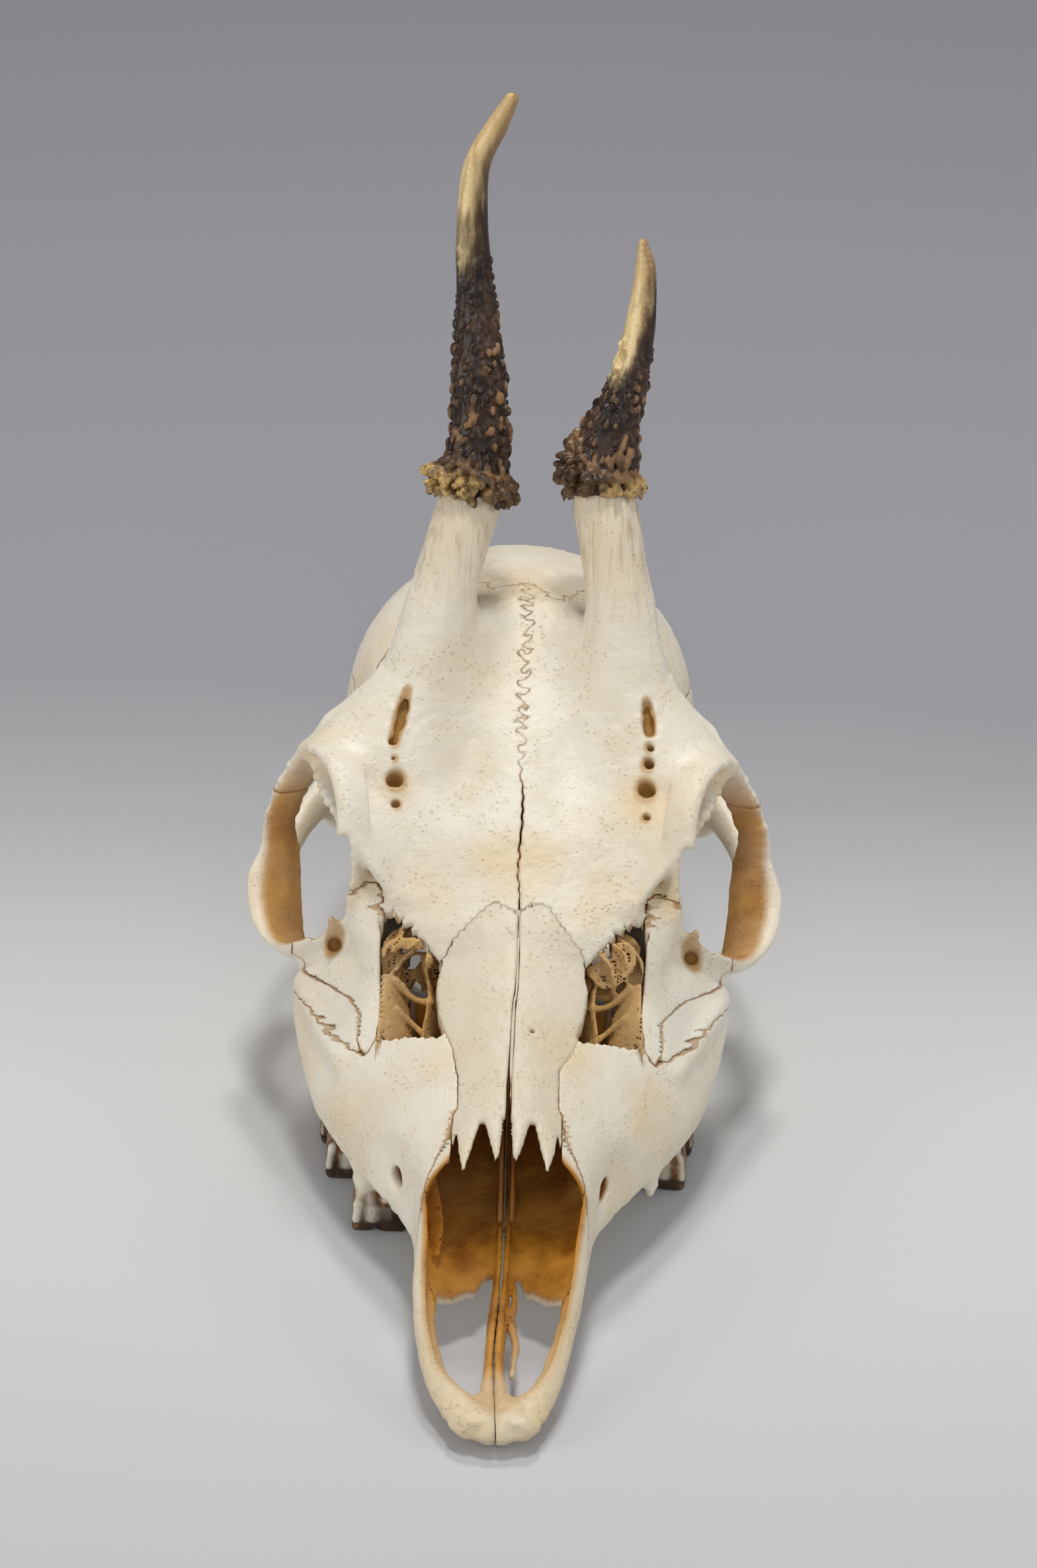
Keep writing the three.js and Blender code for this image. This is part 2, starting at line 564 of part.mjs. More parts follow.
/** A mesh of a manifold solid, its vertices merged where they coincide. */
function mesh(name, made, colour, roughness) {
  const { vertProperties, triVerts, numProp, numVert } = made.getMesh();
  const positions = new Float32Array(numVert * 3);
  for (let i = 0; i < numVert; i++) {
    positions.set(vertProperties.subarray(i * numProp, i * numProp + 3), i * 3);
  }
  const geometry = new THREE.BufferGeometry();
  geometry.setAttribute("position", new THREE.BufferAttribute(positions, 3));
  geometry.setIndex(new THREE.BufferAttribute(triVerts, 1));
  geometry.computeVertexNormals();
  const material = new THREE.MeshStandardMaterial({ color: colour, roughness, metalness: 0 });
  const sub = new THREE.Mesh(geometry, material);
  sub.name = name;
  return sub;
}

// ---- The part -----------------------------------------------------------------------------

const BONE_COLOUR = "#e8dfc8";
const BONE_ROUGHNESS = 0.5;
const ANTLER_COLOUR = "#5a4026";
const ANTLER_ROUGHNESS = 0.6;
const group = new THREE.Group();
for (const [name, made] of Object.entries(bones(wholeSkull()))) {
  group.add(mesh(name, made, BONE_COLOUR, BONE_ROUGHNESS));
}
for (const spike of SPIKES) {
  group.add(mesh(spike.name, antler(spike), ANTLER_COLOUR, ANTLER_ROUGHNESS));
}

// The origin is under the middle of the whole, on the surface that it stands on.
const box = new THREE.Box3().setFromObject(group);
const middle = box.getCenter(new THREE.Vector3());
group.position.set(-middle.x, -middle.y, -box.min.z);

export default group;
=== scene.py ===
"""Roe deer skull without its lower jaw, on a pale floor, bone by bone with its two spike antlers."""

import math

import bpy
import numpy as np
from mathutils import Matrix, Vector


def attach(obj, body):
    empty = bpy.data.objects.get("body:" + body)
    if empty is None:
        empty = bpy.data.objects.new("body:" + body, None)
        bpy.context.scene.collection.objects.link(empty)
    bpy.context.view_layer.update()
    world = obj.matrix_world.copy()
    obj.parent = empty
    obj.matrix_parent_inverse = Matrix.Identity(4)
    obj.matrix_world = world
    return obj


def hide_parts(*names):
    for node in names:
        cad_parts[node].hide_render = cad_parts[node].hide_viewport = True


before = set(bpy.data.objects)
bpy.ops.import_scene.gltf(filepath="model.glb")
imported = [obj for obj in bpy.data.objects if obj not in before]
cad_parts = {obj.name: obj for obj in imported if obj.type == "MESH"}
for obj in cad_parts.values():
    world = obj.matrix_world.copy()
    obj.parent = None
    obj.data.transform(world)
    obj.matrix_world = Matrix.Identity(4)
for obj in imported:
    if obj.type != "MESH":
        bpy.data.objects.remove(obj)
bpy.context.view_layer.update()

# ---- Sizes ------------------------------------------------------------------------------------
# Shapes are in millimetres: x to the animal's left, y back from the muzzle tip, z up from the floor.

FRONT = 96.3  # from the muzzle tip back to the frame's origin
STEP = 0.42  # grid of the skull's volume
ANTLER_STEP = 0.2
SUTURE = 0.12  # width of the gap between two bones
THIN = 0.46  # half the thickness of the thinnest plates
FAR = 9.0  # the field's value well away from any surface
F = np.float32
MIX_INPUTS, MIX_OUTPUT = (0, 6, 7), 2  # where a mix node takes its factor and colours, and gives the result

# ---- Camera, floor and light --------------------------------------------------------------------


def make_camera():
    """The photograph's view: from in front and above, with a long lens, turned a little."""
    elevation, roll, distance = math.radians(28.5), math.radians(2.0), 0.850
    right = Vector((1, 0, 0))
    up = Vector((0, math.sin(elevation), math.cos(elevation)))
    back = Vector((0, -math.cos(elevation), math.sin(elevation)))
    aim = Vector((0, 0.0217, 0.0533))
    turned_right = right * math.cos(roll) + up * math.sin(roll)
    turned_up = up * math.cos(roll) - right * math.sin(roll)
    data = bpy.data.cameras.new("camera")
    data.lens = 116.15
    data.sensor_width = 36
    data.clip_start = 0.05
    data.clip_end = 20
    camera = bpy.data.objects.new("camera", data)
    bpy.context.scene.collection.objects.link(camera)
    turn = Matrix((turned_right, turned_up, back)).transposed()
    camera.matrix_world = Matrix.Translation(aim + back * distance) @ turn.to_4x4()
    bpy.context.scene.camera = camera


def feed(tree, socket, value):
    """Links the socket to value where that is a socket too, and else sets it."""
    if isinstance(value, bpy.types.NodeSocket):
        tree.links.new(value, socket)
    else:
        socket.default_value = value


def node(tree, kind, **inputs):
    """A shader node. Names with a capital letter are its sockets, the others its properties."""
    made = tree.nodes.new("ShaderNode" + kind)
    for key, value in inputs.items():
        if key[0].isupper():
            feed(tree, made.inputs[key.replace("_", " ")], value)
        else:
            setattr(made, key, value)
    return made


def attribute(tree, name):
    return node(tree, "Attribute", attribute_name=name).outputs["Fac"]


def maths(tree, operation, a, b):
    made = node(tree, "Math", operation=operation)
    feed(tree, made.inputs[0], a)
    feed(tree, made.inputs[1], b)
    return made.outputs[0]


def product(tree, a, b):
    return maths(tree, "MULTIPLY", a, b)


def ramp(tree, value, low, high, to_low=0.0, to_high=1.0):
    """The value carried smoothly from low..high to to_low..to_high."""
    made = node(tree, "MapRange", interpolation_type="SMOOTHSTEP", Value=value,
                From_Min=low, From_Max=high, To_Min=to_low, To_Max=to_high)
    return made.outputs[0]


def mixed(tree, amount, first, second):
    """Two colours mixed by amount."""
    made = node(tree, "Mix", data_type="RGBA", clamp_factor=True)
    for socket, value in zip(MIX_INPUTS, (amount, first, second)):
        feed(tree, made.inputs[socket], value)
    return made.outputs[MIX_OUTPUT]


def noise(tree, place, scale, detail=3.0, rough=0.5):
    return node(tree, "TexNoise", Vector=place, Scale=scale, Detail=detail, Roughness=rough).outputs["Fac"]


def stretched(tree, place, scale, rotation=(0, 0, 0)):
    return node(tree, "Mapping", Vector=place, Scale=scale, Rotation=rotation).outputs[0]


def new_material(name):
    material = bpy.data.materials.new(name)
    material.use_nodes = True
    tree = material.node_tree
    shader = tree.nodes["Principled BSDF"]
    place = node(tree, "TexCoord").outputs["Object"]
    return material, tree, shader, place


def rgb(red, green, blue):
    """A colour given as it looks on a screen, 0 to 255, as the shader wants it."""
    values = [c / 255 for c in (red, green, blue)]
    return (*[c / 12.92 if c <= 0.04045 else ((c + 0.055) / 1.055) ** 2.4 for c in values], 1.0)


def make_floor():
    """A plain sheet of pale card, a little darker towards the back through painted shade, for the light
    that falls off there.
    """
    half, lift, steps = 2.6, 1.5, 24
    rows = [(-1.6, 0.0), (1.1, 0.0)]
    for i in range(1, steps + 1):
        turn = 0.5 * math.pi * i / steps
        rows.append((1.1 + lift * math.sin(turn), lift * (1 - math.cos(turn))))
    rows.append((rows[-1][0], 3.2))
    points = [(side * half, y, z) for y, z in rows for side in (-1, 1)]
    faces = [(2 * i, 2 * i + 1, 2 * i + 3, 2 * i + 2) for i in range(len(rows) - 1)]
    mesh = bpy.data.meshes.new("floor")
    mesh.from_pydata(points, [], faces)
    mesh.shade_smooth()
    floor = bpy.data.objects.new("floor", mesh)
    bpy.context.scene.collection.objects.link(floor)
    material, tree, shader, place = new_material("card")
    # Painted shade: the card's colour darkens from front to back, for the light falling off with distance.
    along = node(tree, "SeparateXYZ", Vector=place).outputs[1]
    near = mixed(tree, ramp(tree, along, -0.16, 0.01), rgb(189, 189, 191), rgb(205, 205, 204))
    far = mixed(tree, ramp(tree, along, 0.16, 0.6), rgb(146, 146, 150), rgb(134, 134, 140))
    colour = mixed(tree, ramp(tree, along, 0.005, 0.175), near, far)
    grain = noise(tree, place, 900.0, 2.0)
    colour = mixed(tree, product(tree, grain, 0.05), colour, rgb(130, 129, 135))
    tree.links.new(colour, shader.inputs["Base Color"])
    shader.inputs["Roughness"].default_value = 0.85
    shader.inputs["Specular IOR Level"].default_value = 0.2
    mesh.materials.append(material)


def area_light(name, place, target, size, power, colour=(1, 1, 1)):
    data = bpy.data.lights.new(name, "AREA")
    data.shape = "RECTANGLE"
    data.size, data.size_y = size
    data.energy = power
    data.color = colour
    light = bpy.data.objects.new(name, data)
    bpy.context.scene.collection.objects.link(light)
    light.location = place
    light.rotation_euler = (Vector(target) - Vector(place)).to_track_quat("-Z", "Y").to_euler()


def make_lights():
    """Two lamps above, one of them behind, weaker ones on both sides, and a pale room."""
    middle = (0, 0.0, 0.04)
    area_light("top_lamp", (0.02, 0.08, 1.25), middle, (0.2, 0.2), 5.2, (1.0, 0.99, 0.965))
    area_light("rear_lamp", (0.03, 0.66, 1.1), middle, (0.18, 0.18), 5.2, (1.0, 0.985, 0.955))
    area_light("left_box", (-1.05, -0.5, 0.42), middle, (0.5, 0.8), 5.2, (1.0, 0.985, 0.965))
    area_light("right_box", (1.05, -0.3, 0.6), middle, (0.6, 0.6), 3.3, (0.985, 0.99, 1.0))
    area_light("front_box", (0.05, -1.3, 0.9), middle, (0.9, 0.5), 3.4)
    world = bpy.data.worlds.new("room")
    world.use_nodes = True
    world.node_tree.nodes["Background"].inputs[0].default_value = rgb(226, 228, 238)
    world.node_tree.nodes["Background"].inputs[1].default_value = 0.32
    bpy.context.scene.world = world
    bpy.context.scene.view_settings.view_transform = "Standard"


# ---- Smooth noise -------------------------------------------------------------------------------

LATTICE = np.random.default_rng(7).uniform(-1, 1, (32, 32, 32)).astype(F)


def value_noise(x, y, z, size, seed=0):
    """Smooth noise from -1 to 1, with bumps about "size" across; size may differ along x, y and z."""
    sizes = (size,) * 3 if np.isscalar(size) else size
    low, part = [], []
    for i, (axis, wide) in enumerate(zip((x, y, z), sizes)):
        at = np.asarray(axis, F) / F(wide) + F(11.3 * (i + 1) + 5.7 * seed)
        cell = np.floor(at)
        rest = at - cell
        low.append(cell.astype(np.int32) & 31)
        part.append(rest * rest * (3 - 2 * rest))
    total = 0
    for a in (0, 1):
        wa = part[0] if a else 1 - part[0]
        for b in (0, 1):
            wb = part[1] if b else 1 - part[1]
            for c in (0, 1):
                wc = part[2] if c else 1 - part[2]
                corner = LATTICE[(low[0] + a) & 31, (low[1] + b) & 31, (low[2] + c) & 31]
                total = total + corner * wa * wb * wc
    return total


def smooth_line(places, values):
    """A function through the given values that doesn't overshoot them."""
    t, v = np.array(places, float), np.array(values, float)
    gaps = np.diff(t)
    rise = np.diff(v) / gaps
    slope = np.zeros_like(v)
    for i in range(1, len(v) - 1):
        if rise[i - 1] * rise[i] > 0:
            a, b = 2 * gaps[i] + gaps[i - 1], gaps[i] + 2 * gaps[i - 1]
            slope[i] = (a + b) / (a / rise[i - 1] + b / rise[i])
    slope[0], slope[-1] = rise[0], rise[-1]

    def at(where):
        w = np.clip(np.asarray(where, float), t[0], t[-1])
        i = np.clip(np.searchsorted(t, w) - 1, 0, len(t) - 2)
        u = (w - t[i]) / gaps[i]
        a = v[i] * (1 + 2 * u) * (1 - u) ** 2 + v[i + 1] * u * u * (3 - 2 * u)
        b = gaps[i] * (slope[i] * u * (1 - u) ** 2 + slope[i + 1] * u * u * (u - 1))
        return (a + b).astype(F)

    return at


def along(points, count):
    """A smooth curve through points, as count points of equal parameter steps."""
    p = np.array(points, float)
    ends = np.vstack([2 * p[0] - p[1], p, 2 * p[-1] - p[-2]])
    made = []
    for t in np.linspace(0, len(p) - 1, count):
        i = min(int(t), len(p) - 2)
        u = t - i
        a, b, c, d = ends[i : i + 4]
        made.append(0.5 * (2 * b + (c - a) * u + (2 * a - 5 * b + 4 * c - d) * u * u
                           + (3 * b - a - 3 * c + d) * u**3))
    return np.array(made)


def spread(values, count):
    return np.interp(np.linspace(0, len(values) - 1, count), range(len(values)), values)


# ---- Shapes as distance fields --------------------------------------------------------------------
# A shape is (lowest corner, highest corner, function of x, y, z). The function is below 0 inside.


def soft_min(a, b, soft):
    least = np.minimum(a, b)
    if soft <= 0:
        return least
    near = np.maximum(soft - np.abs(a - b), 0)
    return least - near * near * F(0.25 / soft)


def dot(row, parts):
    """Three plain numbers times three fields, added up."""
    return sum(F(w) * q for w, q in zip(row, parts))


def unit(vector):
    v = np.array(vector, float)
    return v / np.linalg.norm(v)


def ellipsoid(centre, radii, turn=np.eye(3)):
    """turn's rows are the ellipsoid's own axes."""
    c, r = np.array(centre, float), np.array(radii, float)
    reach = np.sqrt(((np.array(turn) * r[:, None]) ** 2).sum(0))

    def field(x, y, z):
        p = (x - F(c[0]), y - F(c[1]), z - F(c[2]))
        near = far = 0
        for axis, radius in zip(turn, r):
            part = sum(F(w) * q for w, q in zip(axis, p) if abs(w) > 1e-9)
            near = near + (part / F(radius)) ** 2
            far = far + (part / F(radius * radius)) ** 2
        near = np.sqrt(near)
        return near * (near - 1) / np.sqrt(far + 1e-6)

    return c - reach, c + reach, field


def loft(stations, round_end=2.0):
    """Cross-sections along y: (y, top, bottom, half width, height of the widest place, upper and
    lower squareness)."""
    table = np.array(stations, float)
    lines = [smooth_line(table[:, 0], table[:, i]) for i in range(1, 7)]
    start, end = table[0, 0], table[-1, 0]
    wide = table[:, 3].max()

    def field(x, y, z):
        top, bottom, half, waist, upper, lower = [line(y) for line in lines]
        above = z > waist
        reach = np.where(above, top - waist, waist - bottom)
        power = np.where(above, upper, lower)
        side = np.maximum(np.abs(x), 0.05)
        rise = np.maximum(np.abs(z - waist), 0.05)
        a = np.exp(power * np.log(side / half))
        b = np.exp(power * np.log(rise / reach))
        both = a + b
        r = np.exp(np.log(both) / power)
        slope = (r / both) ** 2 * ((a / side) ** 2 + (b / rise) ** 2)
        if r.ndim == 3 and r.shape[1] > 2:
            gap = float(y[0, 1, 0] - y[0, 0, 0])
            slope = slope + np.minimum(np.gradient(r, gap, axis=1), 0.2) ** 2
        f = (r - 1) / np.sqrt(slope + 1e-6)
        f = np.clip(f, -FAR, FAR)
        return -soft_min(-f, -np.maximum(F(start) - y, y - F(end)), round_end)

    low = (-wide, start, table[:, 2].min())
    high = (wide, end, table[:, 1].max())
    return np.array(low), np.array(high), field


def strap(points, wide, thick, up, count=None):
    """A bar along a curve. At each point it is "wide" along up and "thick" across it, both halves."""
    count = count or 3 * len(points)
    route = along(points, count)
    a, b = spread(wide, count), spread(thick, count)
    reach = max(max(wide), max(thick))

    def field(x, y, z):
        best = None
        for i in range(count - 1):
            start, step = route[i], route[i + 1] - route[i]
            length = float(step @ step)
            ahead = step / math.sqrt(length)
            over = unit(np.array(up) - ahead * (np.array(up) @ ahead))
            side = np.cross(ahead, over)
            p = [q - F(s) for q, s in zip((x, y, z), start)]
            t = np.clip(dot(step / length, p), 0, 1)
            rest = [q - t * F(w) for q, w in zip(p, step)]
            u, v, w = dot(over, rest), dot(side, rest), dot(ahead, rest)
            ru, rv = F(a[i]) + t * F(a[i + 1] - a[i]), F(b[i]) + t * F(b[i + 1] - b[i])
            rw = np.minimum(ru, rv)
            near = np.sqrt((u / ru) ** 2 + (v / rv) ** 2 + (w / rw) ** 2)
            far = np.sqrt((u / ru**2) ** 2 + (v / rv**2) ** 2 + (w / rw**2) ** 2 + 1e-6)
            f = near * (near - 1) / far
            best = f if best is None else np.minimum(best, f)
        return best

    return route.min(0) - reach, route.max(0) + reach, field


def rod(points, radii, count=None):
    """A round bar along a curve."""
    count = count or max(2, 3 * len(points) - 3 if len(points) > 2 else 2)
    route, r = along(points, count), spread(radii, count)

    def field(x, y, z):
        best = None
        for i in range(count - 1):
            start, step = route[i], route[i + 1] - route[i]
            length = float(step @ step)
            p = [q - F(s) for q, s in zip((x, y, z), start)]
            t = np.clip(dot(step / length, p), 0, 1)
            away = np.sqrt(sum((q - t * F(w)) ** 2 for q, w in zip(p, step)))
            f = away - (F(r[i]) + t * F(r[i + 1] - r[i]))
            best = f if best is None else np.minimum(best, f)
        return best

    return route.min(0) - max(radii), route.max(0) + max(radii), field


def flat_distance(outline, u, v):
    """Signed distance from an outline in a plane, below 0 inside."""
    p = np.array(outline, float)
    best, crossings = None, 0
    for (ax, ay), (bx, by) in zip(p, np.roll(p, -1, 0)):
        dx, dy = bx - ax, by - ay
        t = np.clip(((u - F(ax)) * F(dx) + (v - F(ay)) * F(dy)) / F(dx * dx + dy * dy), 0, 1)
        d = (u - F(ax) - t * F(dx)) ** 2 + (v - F(ay) - t * F(dy)) ** 2
        best = d if best is None else np.minimum(best, d)
        over = (v >= min(ay, by)) & (v < max(ay, by))
        if dy != 0:
            crossings = crossings + (over & (u < F(ax) + (v - F(ay)) * F(dx / dy)))
    return np.sqrt(best) * np.where(crossings % 2 == 1, F(-1), F(1))


def uneven(u, v, bump, seed):
    """Noise over a plane: broad bumps, and finer ones on them."""
    flat = 0 * (u + v)
    return value_noise(u, v, flat, bump, seed) + 0.5 * value_noise(u, v, flat, bump / 2.3, seed + 3)


def prism(outline, low, high, axis="z", wander=0.0, bump=3.0, seed=0, rise=0.0, origin=0.0):
    """The space over an outline, given as (x, y), or as (y, z) where the axis is x. Its floor climbs
    by "rise" for each step of y from the place "origin". wander makes the outline uneven."""
    p = np.array(outline, float)

    def field(x, y, z):
        u, v = (x, y) if axis == "z" else (y, z)
        if wander:
            moved = uneven(u, v, bump, seed), uneven(u, v, bump, seed + 1)
            u, v = u + F(wander) * moved[0], v + F(wander) * moved[1]
        f = flat_distance(p, u, v)
        if axis == "z":
            floor = F(low) + F(rise) * (y - F(origin))
            return np.maximum(f, np.maximum(floor - z, z - F(high)))
        return np.maximum(f, np.maximum(F(low) - x, x - F(high)))

    least, most = p.min(0) - wander, p.max(0) + wander
    if axis == "z":
        floor = min(low, low + rise * (least[1] - origin))
        return np.array((least[0], least[1], floor)), np.array((most[0], most[1], high)), field
    return np.array((low, least[0], least[1])), np.array((high, most[0], most[1])), field


def jagged(points, period, depth, seed):
    """A line with teeth of about that period and depth added, for the edge of a thin bone."""
    rng = np.random.default_rng(seed)
    made = []
    for a, b in zip(points[:-1], points[1:]):
        a, b = np.array(a, float), np.array(b, float)
        count = max(1, round(2 * np.linalg.norm(b - a) / period))
        normal = np.array((b[1] - a[1], a[0] - b[0])) / max(np.linalg.norm(b - a), 1e-6)
        for i in range(count):
            t = (i + (0.5 * rng.uniform(-0.5, 0.5) if i else 0)) / count
            side = (1 if len(made) % 2 else -1) * depth * rng.uniform(0.2, 1.0)
            made.append(tuple(a + (b - a) * t + normal * side))
    return made + [tuple(points[-1])]


def sheet(outline, height, thick, soft):
    """A plate over an outline seen from above, with its upper face at height(x, y)."""
    p = np.array(outline, float)
    tops = height(p[:, 0], p[:, 1])

    def field(x, y, z):
        level = np.abs(z - height(x, y) + F(thick / 2)) - F(thick / 2)
        return -soft_min(-flat_distance(p, x, y), -level.astype(F), soft)

    return np.array((*p.min(0), tops.min() - thick - 1)), np.array((*p.max(0), tops.max() + 1)), field


def slanted(outline, front, back):
    """The space behind an outline in (x, z), which sinks by RIM_SLOPE on its way back from RIM_START."""
    p = np.array(outline, float)

    def field(x, y, z):
        f = flat_distance(p, x + 0 * y, z + F(RIM_SLOPE) * (y - F(RIM_START)))
        return np.maximum(f, np.maximum(F(front) - y, y - F(back)))

    (left, bottom), (right, top) = p.min(0), p.max(0)
    low = np.array((left, front, bottom - RIM_SLOPE * (back - RIM_START)))
    return low, np.array((right, back, top + RIM_SLOPE * (RIM_START - front))), field


def mirror(shape):
    low, high, field = shape
    swapped = np.array((-high[0], low[1], low[2])), np.array((-low[0], high[1], high[2]))
    return *swapped, lambda x, y, z: field(-x, y, z)


class Volume:
    """A box of space with the distance to one solid at each point of a grid."""

    def __init__(self, low, high, step):
        self.step = step
        self.low = np.array(low, float)
        counts = [int(math.ceil((b - a) / step)) + 1 for a, b in zip(low, high)]
        self.axes = [(a + step * np.arange(n)).astype(F) for a, n in zip(low, counts)]
        self.f = np.full(counts, FAR, F)

    def window(self, low, high, pad):
        cut = []
        for axis, a, b in zip(self.axes, low, high):
            i, j = np.searchsorted(axis, (a - pad, b + pad))
            cut.append(slice(int(i), int(j)))
        return tuple(cut), np.ix_(*[axis[c] for axis, c in zip(self.axes, cut)])

    def blend(self, shape, soft, sign):
        cut, places = self.window(shape[0], shape[1], soft + 2.0)
        old = self.f[cut]
        if not old.size:
            return
        new = shape[2](*places)
        if sign > 0:
            self.f[cut] = soft_min(old, new, soft)
        else:
            self.f[cut] = -soft_min(-old, np.broadcast_to(new, old.shape), soft)

    def add(self, shape, soft=1.0):
        self.blend(shape, soft, 1)

    def cut(self, shape, soft=0.5):
        self.blend(shape, soft, -1)

    def hollow(self, shape, thick):
        """Takes away what lies deeper than "thick" under the surface, inside a shape."""
        cut, places = self.window(shape[0], shape[1], 1)
        old = self.f[cut]
        self.f[cut] = np.maximum(old, -np.maximum(old + F(thick), shape[2](*places)))

    def top_at(self, x, y):
        """How high the surface is over a point."""
        i, j = (int(np.argmin(np.abs(axis - at))) for axis, at in zip(self.axes, (x, y)))
        column = self.f[i, j]
        k = int(np.flatnonzero(column < 0)[-1])
        part = column[k] / (column[k] - column[k + 1])
        return float(self.axes[2][k] + part * self.step)

    def line(self, points, width, depth, low, high):
        """Sinks the surface between two heights by depth, along a line seen from above."""
        p = along(points, 4 * len(points))
        a, b = p.min(0) - 3 * width, p.max(0) + 3 * width
        cut, (x, y, _) = self.window((*a, low), (*b, high), 0)
        best = None
        for start, end in zip(p[:-1], p[1:]):
            step = end - start
            part = (x - F(start[0])) * F(step[0]) + (y - F(start[1])) * F(step[1])
            t = np.clip(part / F(step @ step + 1e-9), 0, 1)
            d = (x - F(start[0]) - t * F(step[0])) ** 2 + (y - F(start[1]) - t * F(step[1])) ** 2
            best = d if best is None else np.minimum(best, d)
        self.f[cut] += F(depth) * np.exp(-best / F(width * width))

    def roughen(self, low, high, height):
        """Moves the surface outwards by a function's value inside a box."""
        cut, places = self.window(low, high, 0)
        self.f[cut] -= height(*places).astype(F)


# ---- The skull --------------------------------------------------------------------------------------

FACE = [
    (0, 4.4, 2.4, 2.4, 3.2, 2, 2), (2, 5.4, 1.6, 6.4, 3.4, 2.2, 2), (7, 6.6, 1.8, 8.9, 4.2, 2.4, 2.2),
    (15, 10, 2.8, 11.2, 6.4, 2.6, 2.4), (25, 16, 4.4, 13, 10, 3, 2.4), (34, 23, 6.2, 13.8, 14, 2.8, 2.4),
    (42, 31, 7.8, 15.2, 15.5, 2.2, 2.8), (48, 33, 8.6, 17.4, 15.5, 1.9, 3.2),
    (57, 35.8, 9, 22.2, 15.5, 1.75, 3.4),
    (66, 38.8, 9, 27, 15.5, 1.6, 3.6), (76, 41.4, 9, 31.4, 16, 1.55, 3.4),
    (86, 43.8, 9, 34.4, 19, 1.6, 2.4),
    (94, 46.6, 9, 36, 23, 1.7, 1.8), (101, 50, 9.4, 35.4, 25, 1.8, 1.5), (108, 52, 11, 30, 27, 1.8, 1.4),
]
CRANIUM = [
    (84, 43, 24, 22, 34, 2.2, 2), (93, 47.6, 22, 27.2, 41, 2.8, 1.6), (102, 53.2, 22, 30.4, 47.5, 3.4, 1.4),
    (112, 59, 22, 32.8, 53, 3.6, 1.3), (120, 63.6, 23, 34.4, 55.5, 3, 1.3),
    (127, 67.8, 24, 29, 57, 2.3, 1.6),
    (135, 72.2, 24, 26.5, 53, 2.1, 2), (144, 75.2, 23.4, 28.4, 49, 2.1, 2.1),
    (154, 75.8, 22.6, 30.2, 47, 2.1, 2.2),
    (165, 74, 21.8, 29.6, 45, 2.1, 2.2), (174, 70.6, 21, 27.4, 43, 2.1, 2.2),
    (181, 66.8, 21, 24, 41, 2.2, 2.2),
    (186, 58, 22, 18, 39, 2.2, 2.2),
]
NOSE_HOLLOW = [
    (4, 20, 5.8, 3, 9, 3, 2.4), (12, 26, 5.6, 8.2, 9, 4, 2.6), (25, 36, 7, 11.1, 12, 4, 2.8),
    (36, 38, 9, 12, 16, 4, 2.8),
    (41, 31.2, 10.2, 12.8, 16.5, 2.1, 2.8), (50, 32.2, 11.4, 15.2, 17, 1.8, 2.8),
    (64, 36.3, 12, 19.8, 18, 1.65, 2.6),
    (76, 39.4, 12.4, 22, 20, 1.6, 2.4), (86, 41, 15, 21, 26, 2.2, 2.2),
]
ORBIT_CENTRE = np.array((34.4, 110, 43.8))
ORBIT_AXIS = unit((0.895, -0.323, 0.309))
ORBIT_BACK = unit(np.array((0, 1, 0)) - ORBIT_AXIS * ORBIT_AXIS[1])
ORBIT_DOWN = np.cross(ORBIT_BACK, ORBIT_AXIS)
ORBIT_RADIUS = 17.4
# The ring isn't flat: how far it leans inwards, and how much broader it is, at each turn from the
# back downwards.
RING_TURNS = (-3.2, -1.3, -0.25, 0.25, 0.6, 0.9, 1.3, 1.8, 2.4, 3.2)
RING_LEAN = smooth_line(RING_TURNS, (0, 0, -1.6, -1.3, -2.2, -1.6, -1.2, -0.6, 0, 0))
RING_BROAD = smooth_line(RING_TURNS, (0, 0, -1.4, -1.4, -0.4, 0.9, 1.2, 0.6, 0, 0))
RIM_SLOPE, RIM_START = 0.57, 96  # how the front rim of the socket's outline sinks on its way back
BROW_SLOPE = 0.57  # how the forehead climbs backwards
CROWN = 9.0  # height of the cheek teeth's crowns
TEETH = [
    (64.4, 8.2, 8.2, (-1,)), (80.4, 10.2, 9.8, (-1, 1)), (91.2, 11.0, 10.6, (-1, 1)),
    (101.8, 10.2, 10.0, (-1, 1)),
]
LOST_TEETH = [(54.6, -1), (54.6, 1), (63.6, 1), (72.0, -1), (72.0, 1)]

# The openings of the brow: (points, radii) of a trench on each side, and round holes (x, y, radius).
TRENCHES = (
    ([(-19.1, 121.4), (-19.8, 118.4), (-20.5, 115.6)], (0.6, 0.95, 0.85)),
    ([(21.1, 121.2), (21.4, 119.4), (21.7, 117.4)], (0.6, 0.9, 0.75)),
)
BROW_HOLES = (
    (-20.2, 109.2, 1.45), (-19.9, 105.4, 0.6), (-20.7, 114.4, 0.8), (-20.5, 112.0, 0.4),
    (21.1, 109.2, 1.5), (21.2, 104.7, 0.55), (21.4, 112.7, 0.95), (21.6, 114.9, 0.6),
)
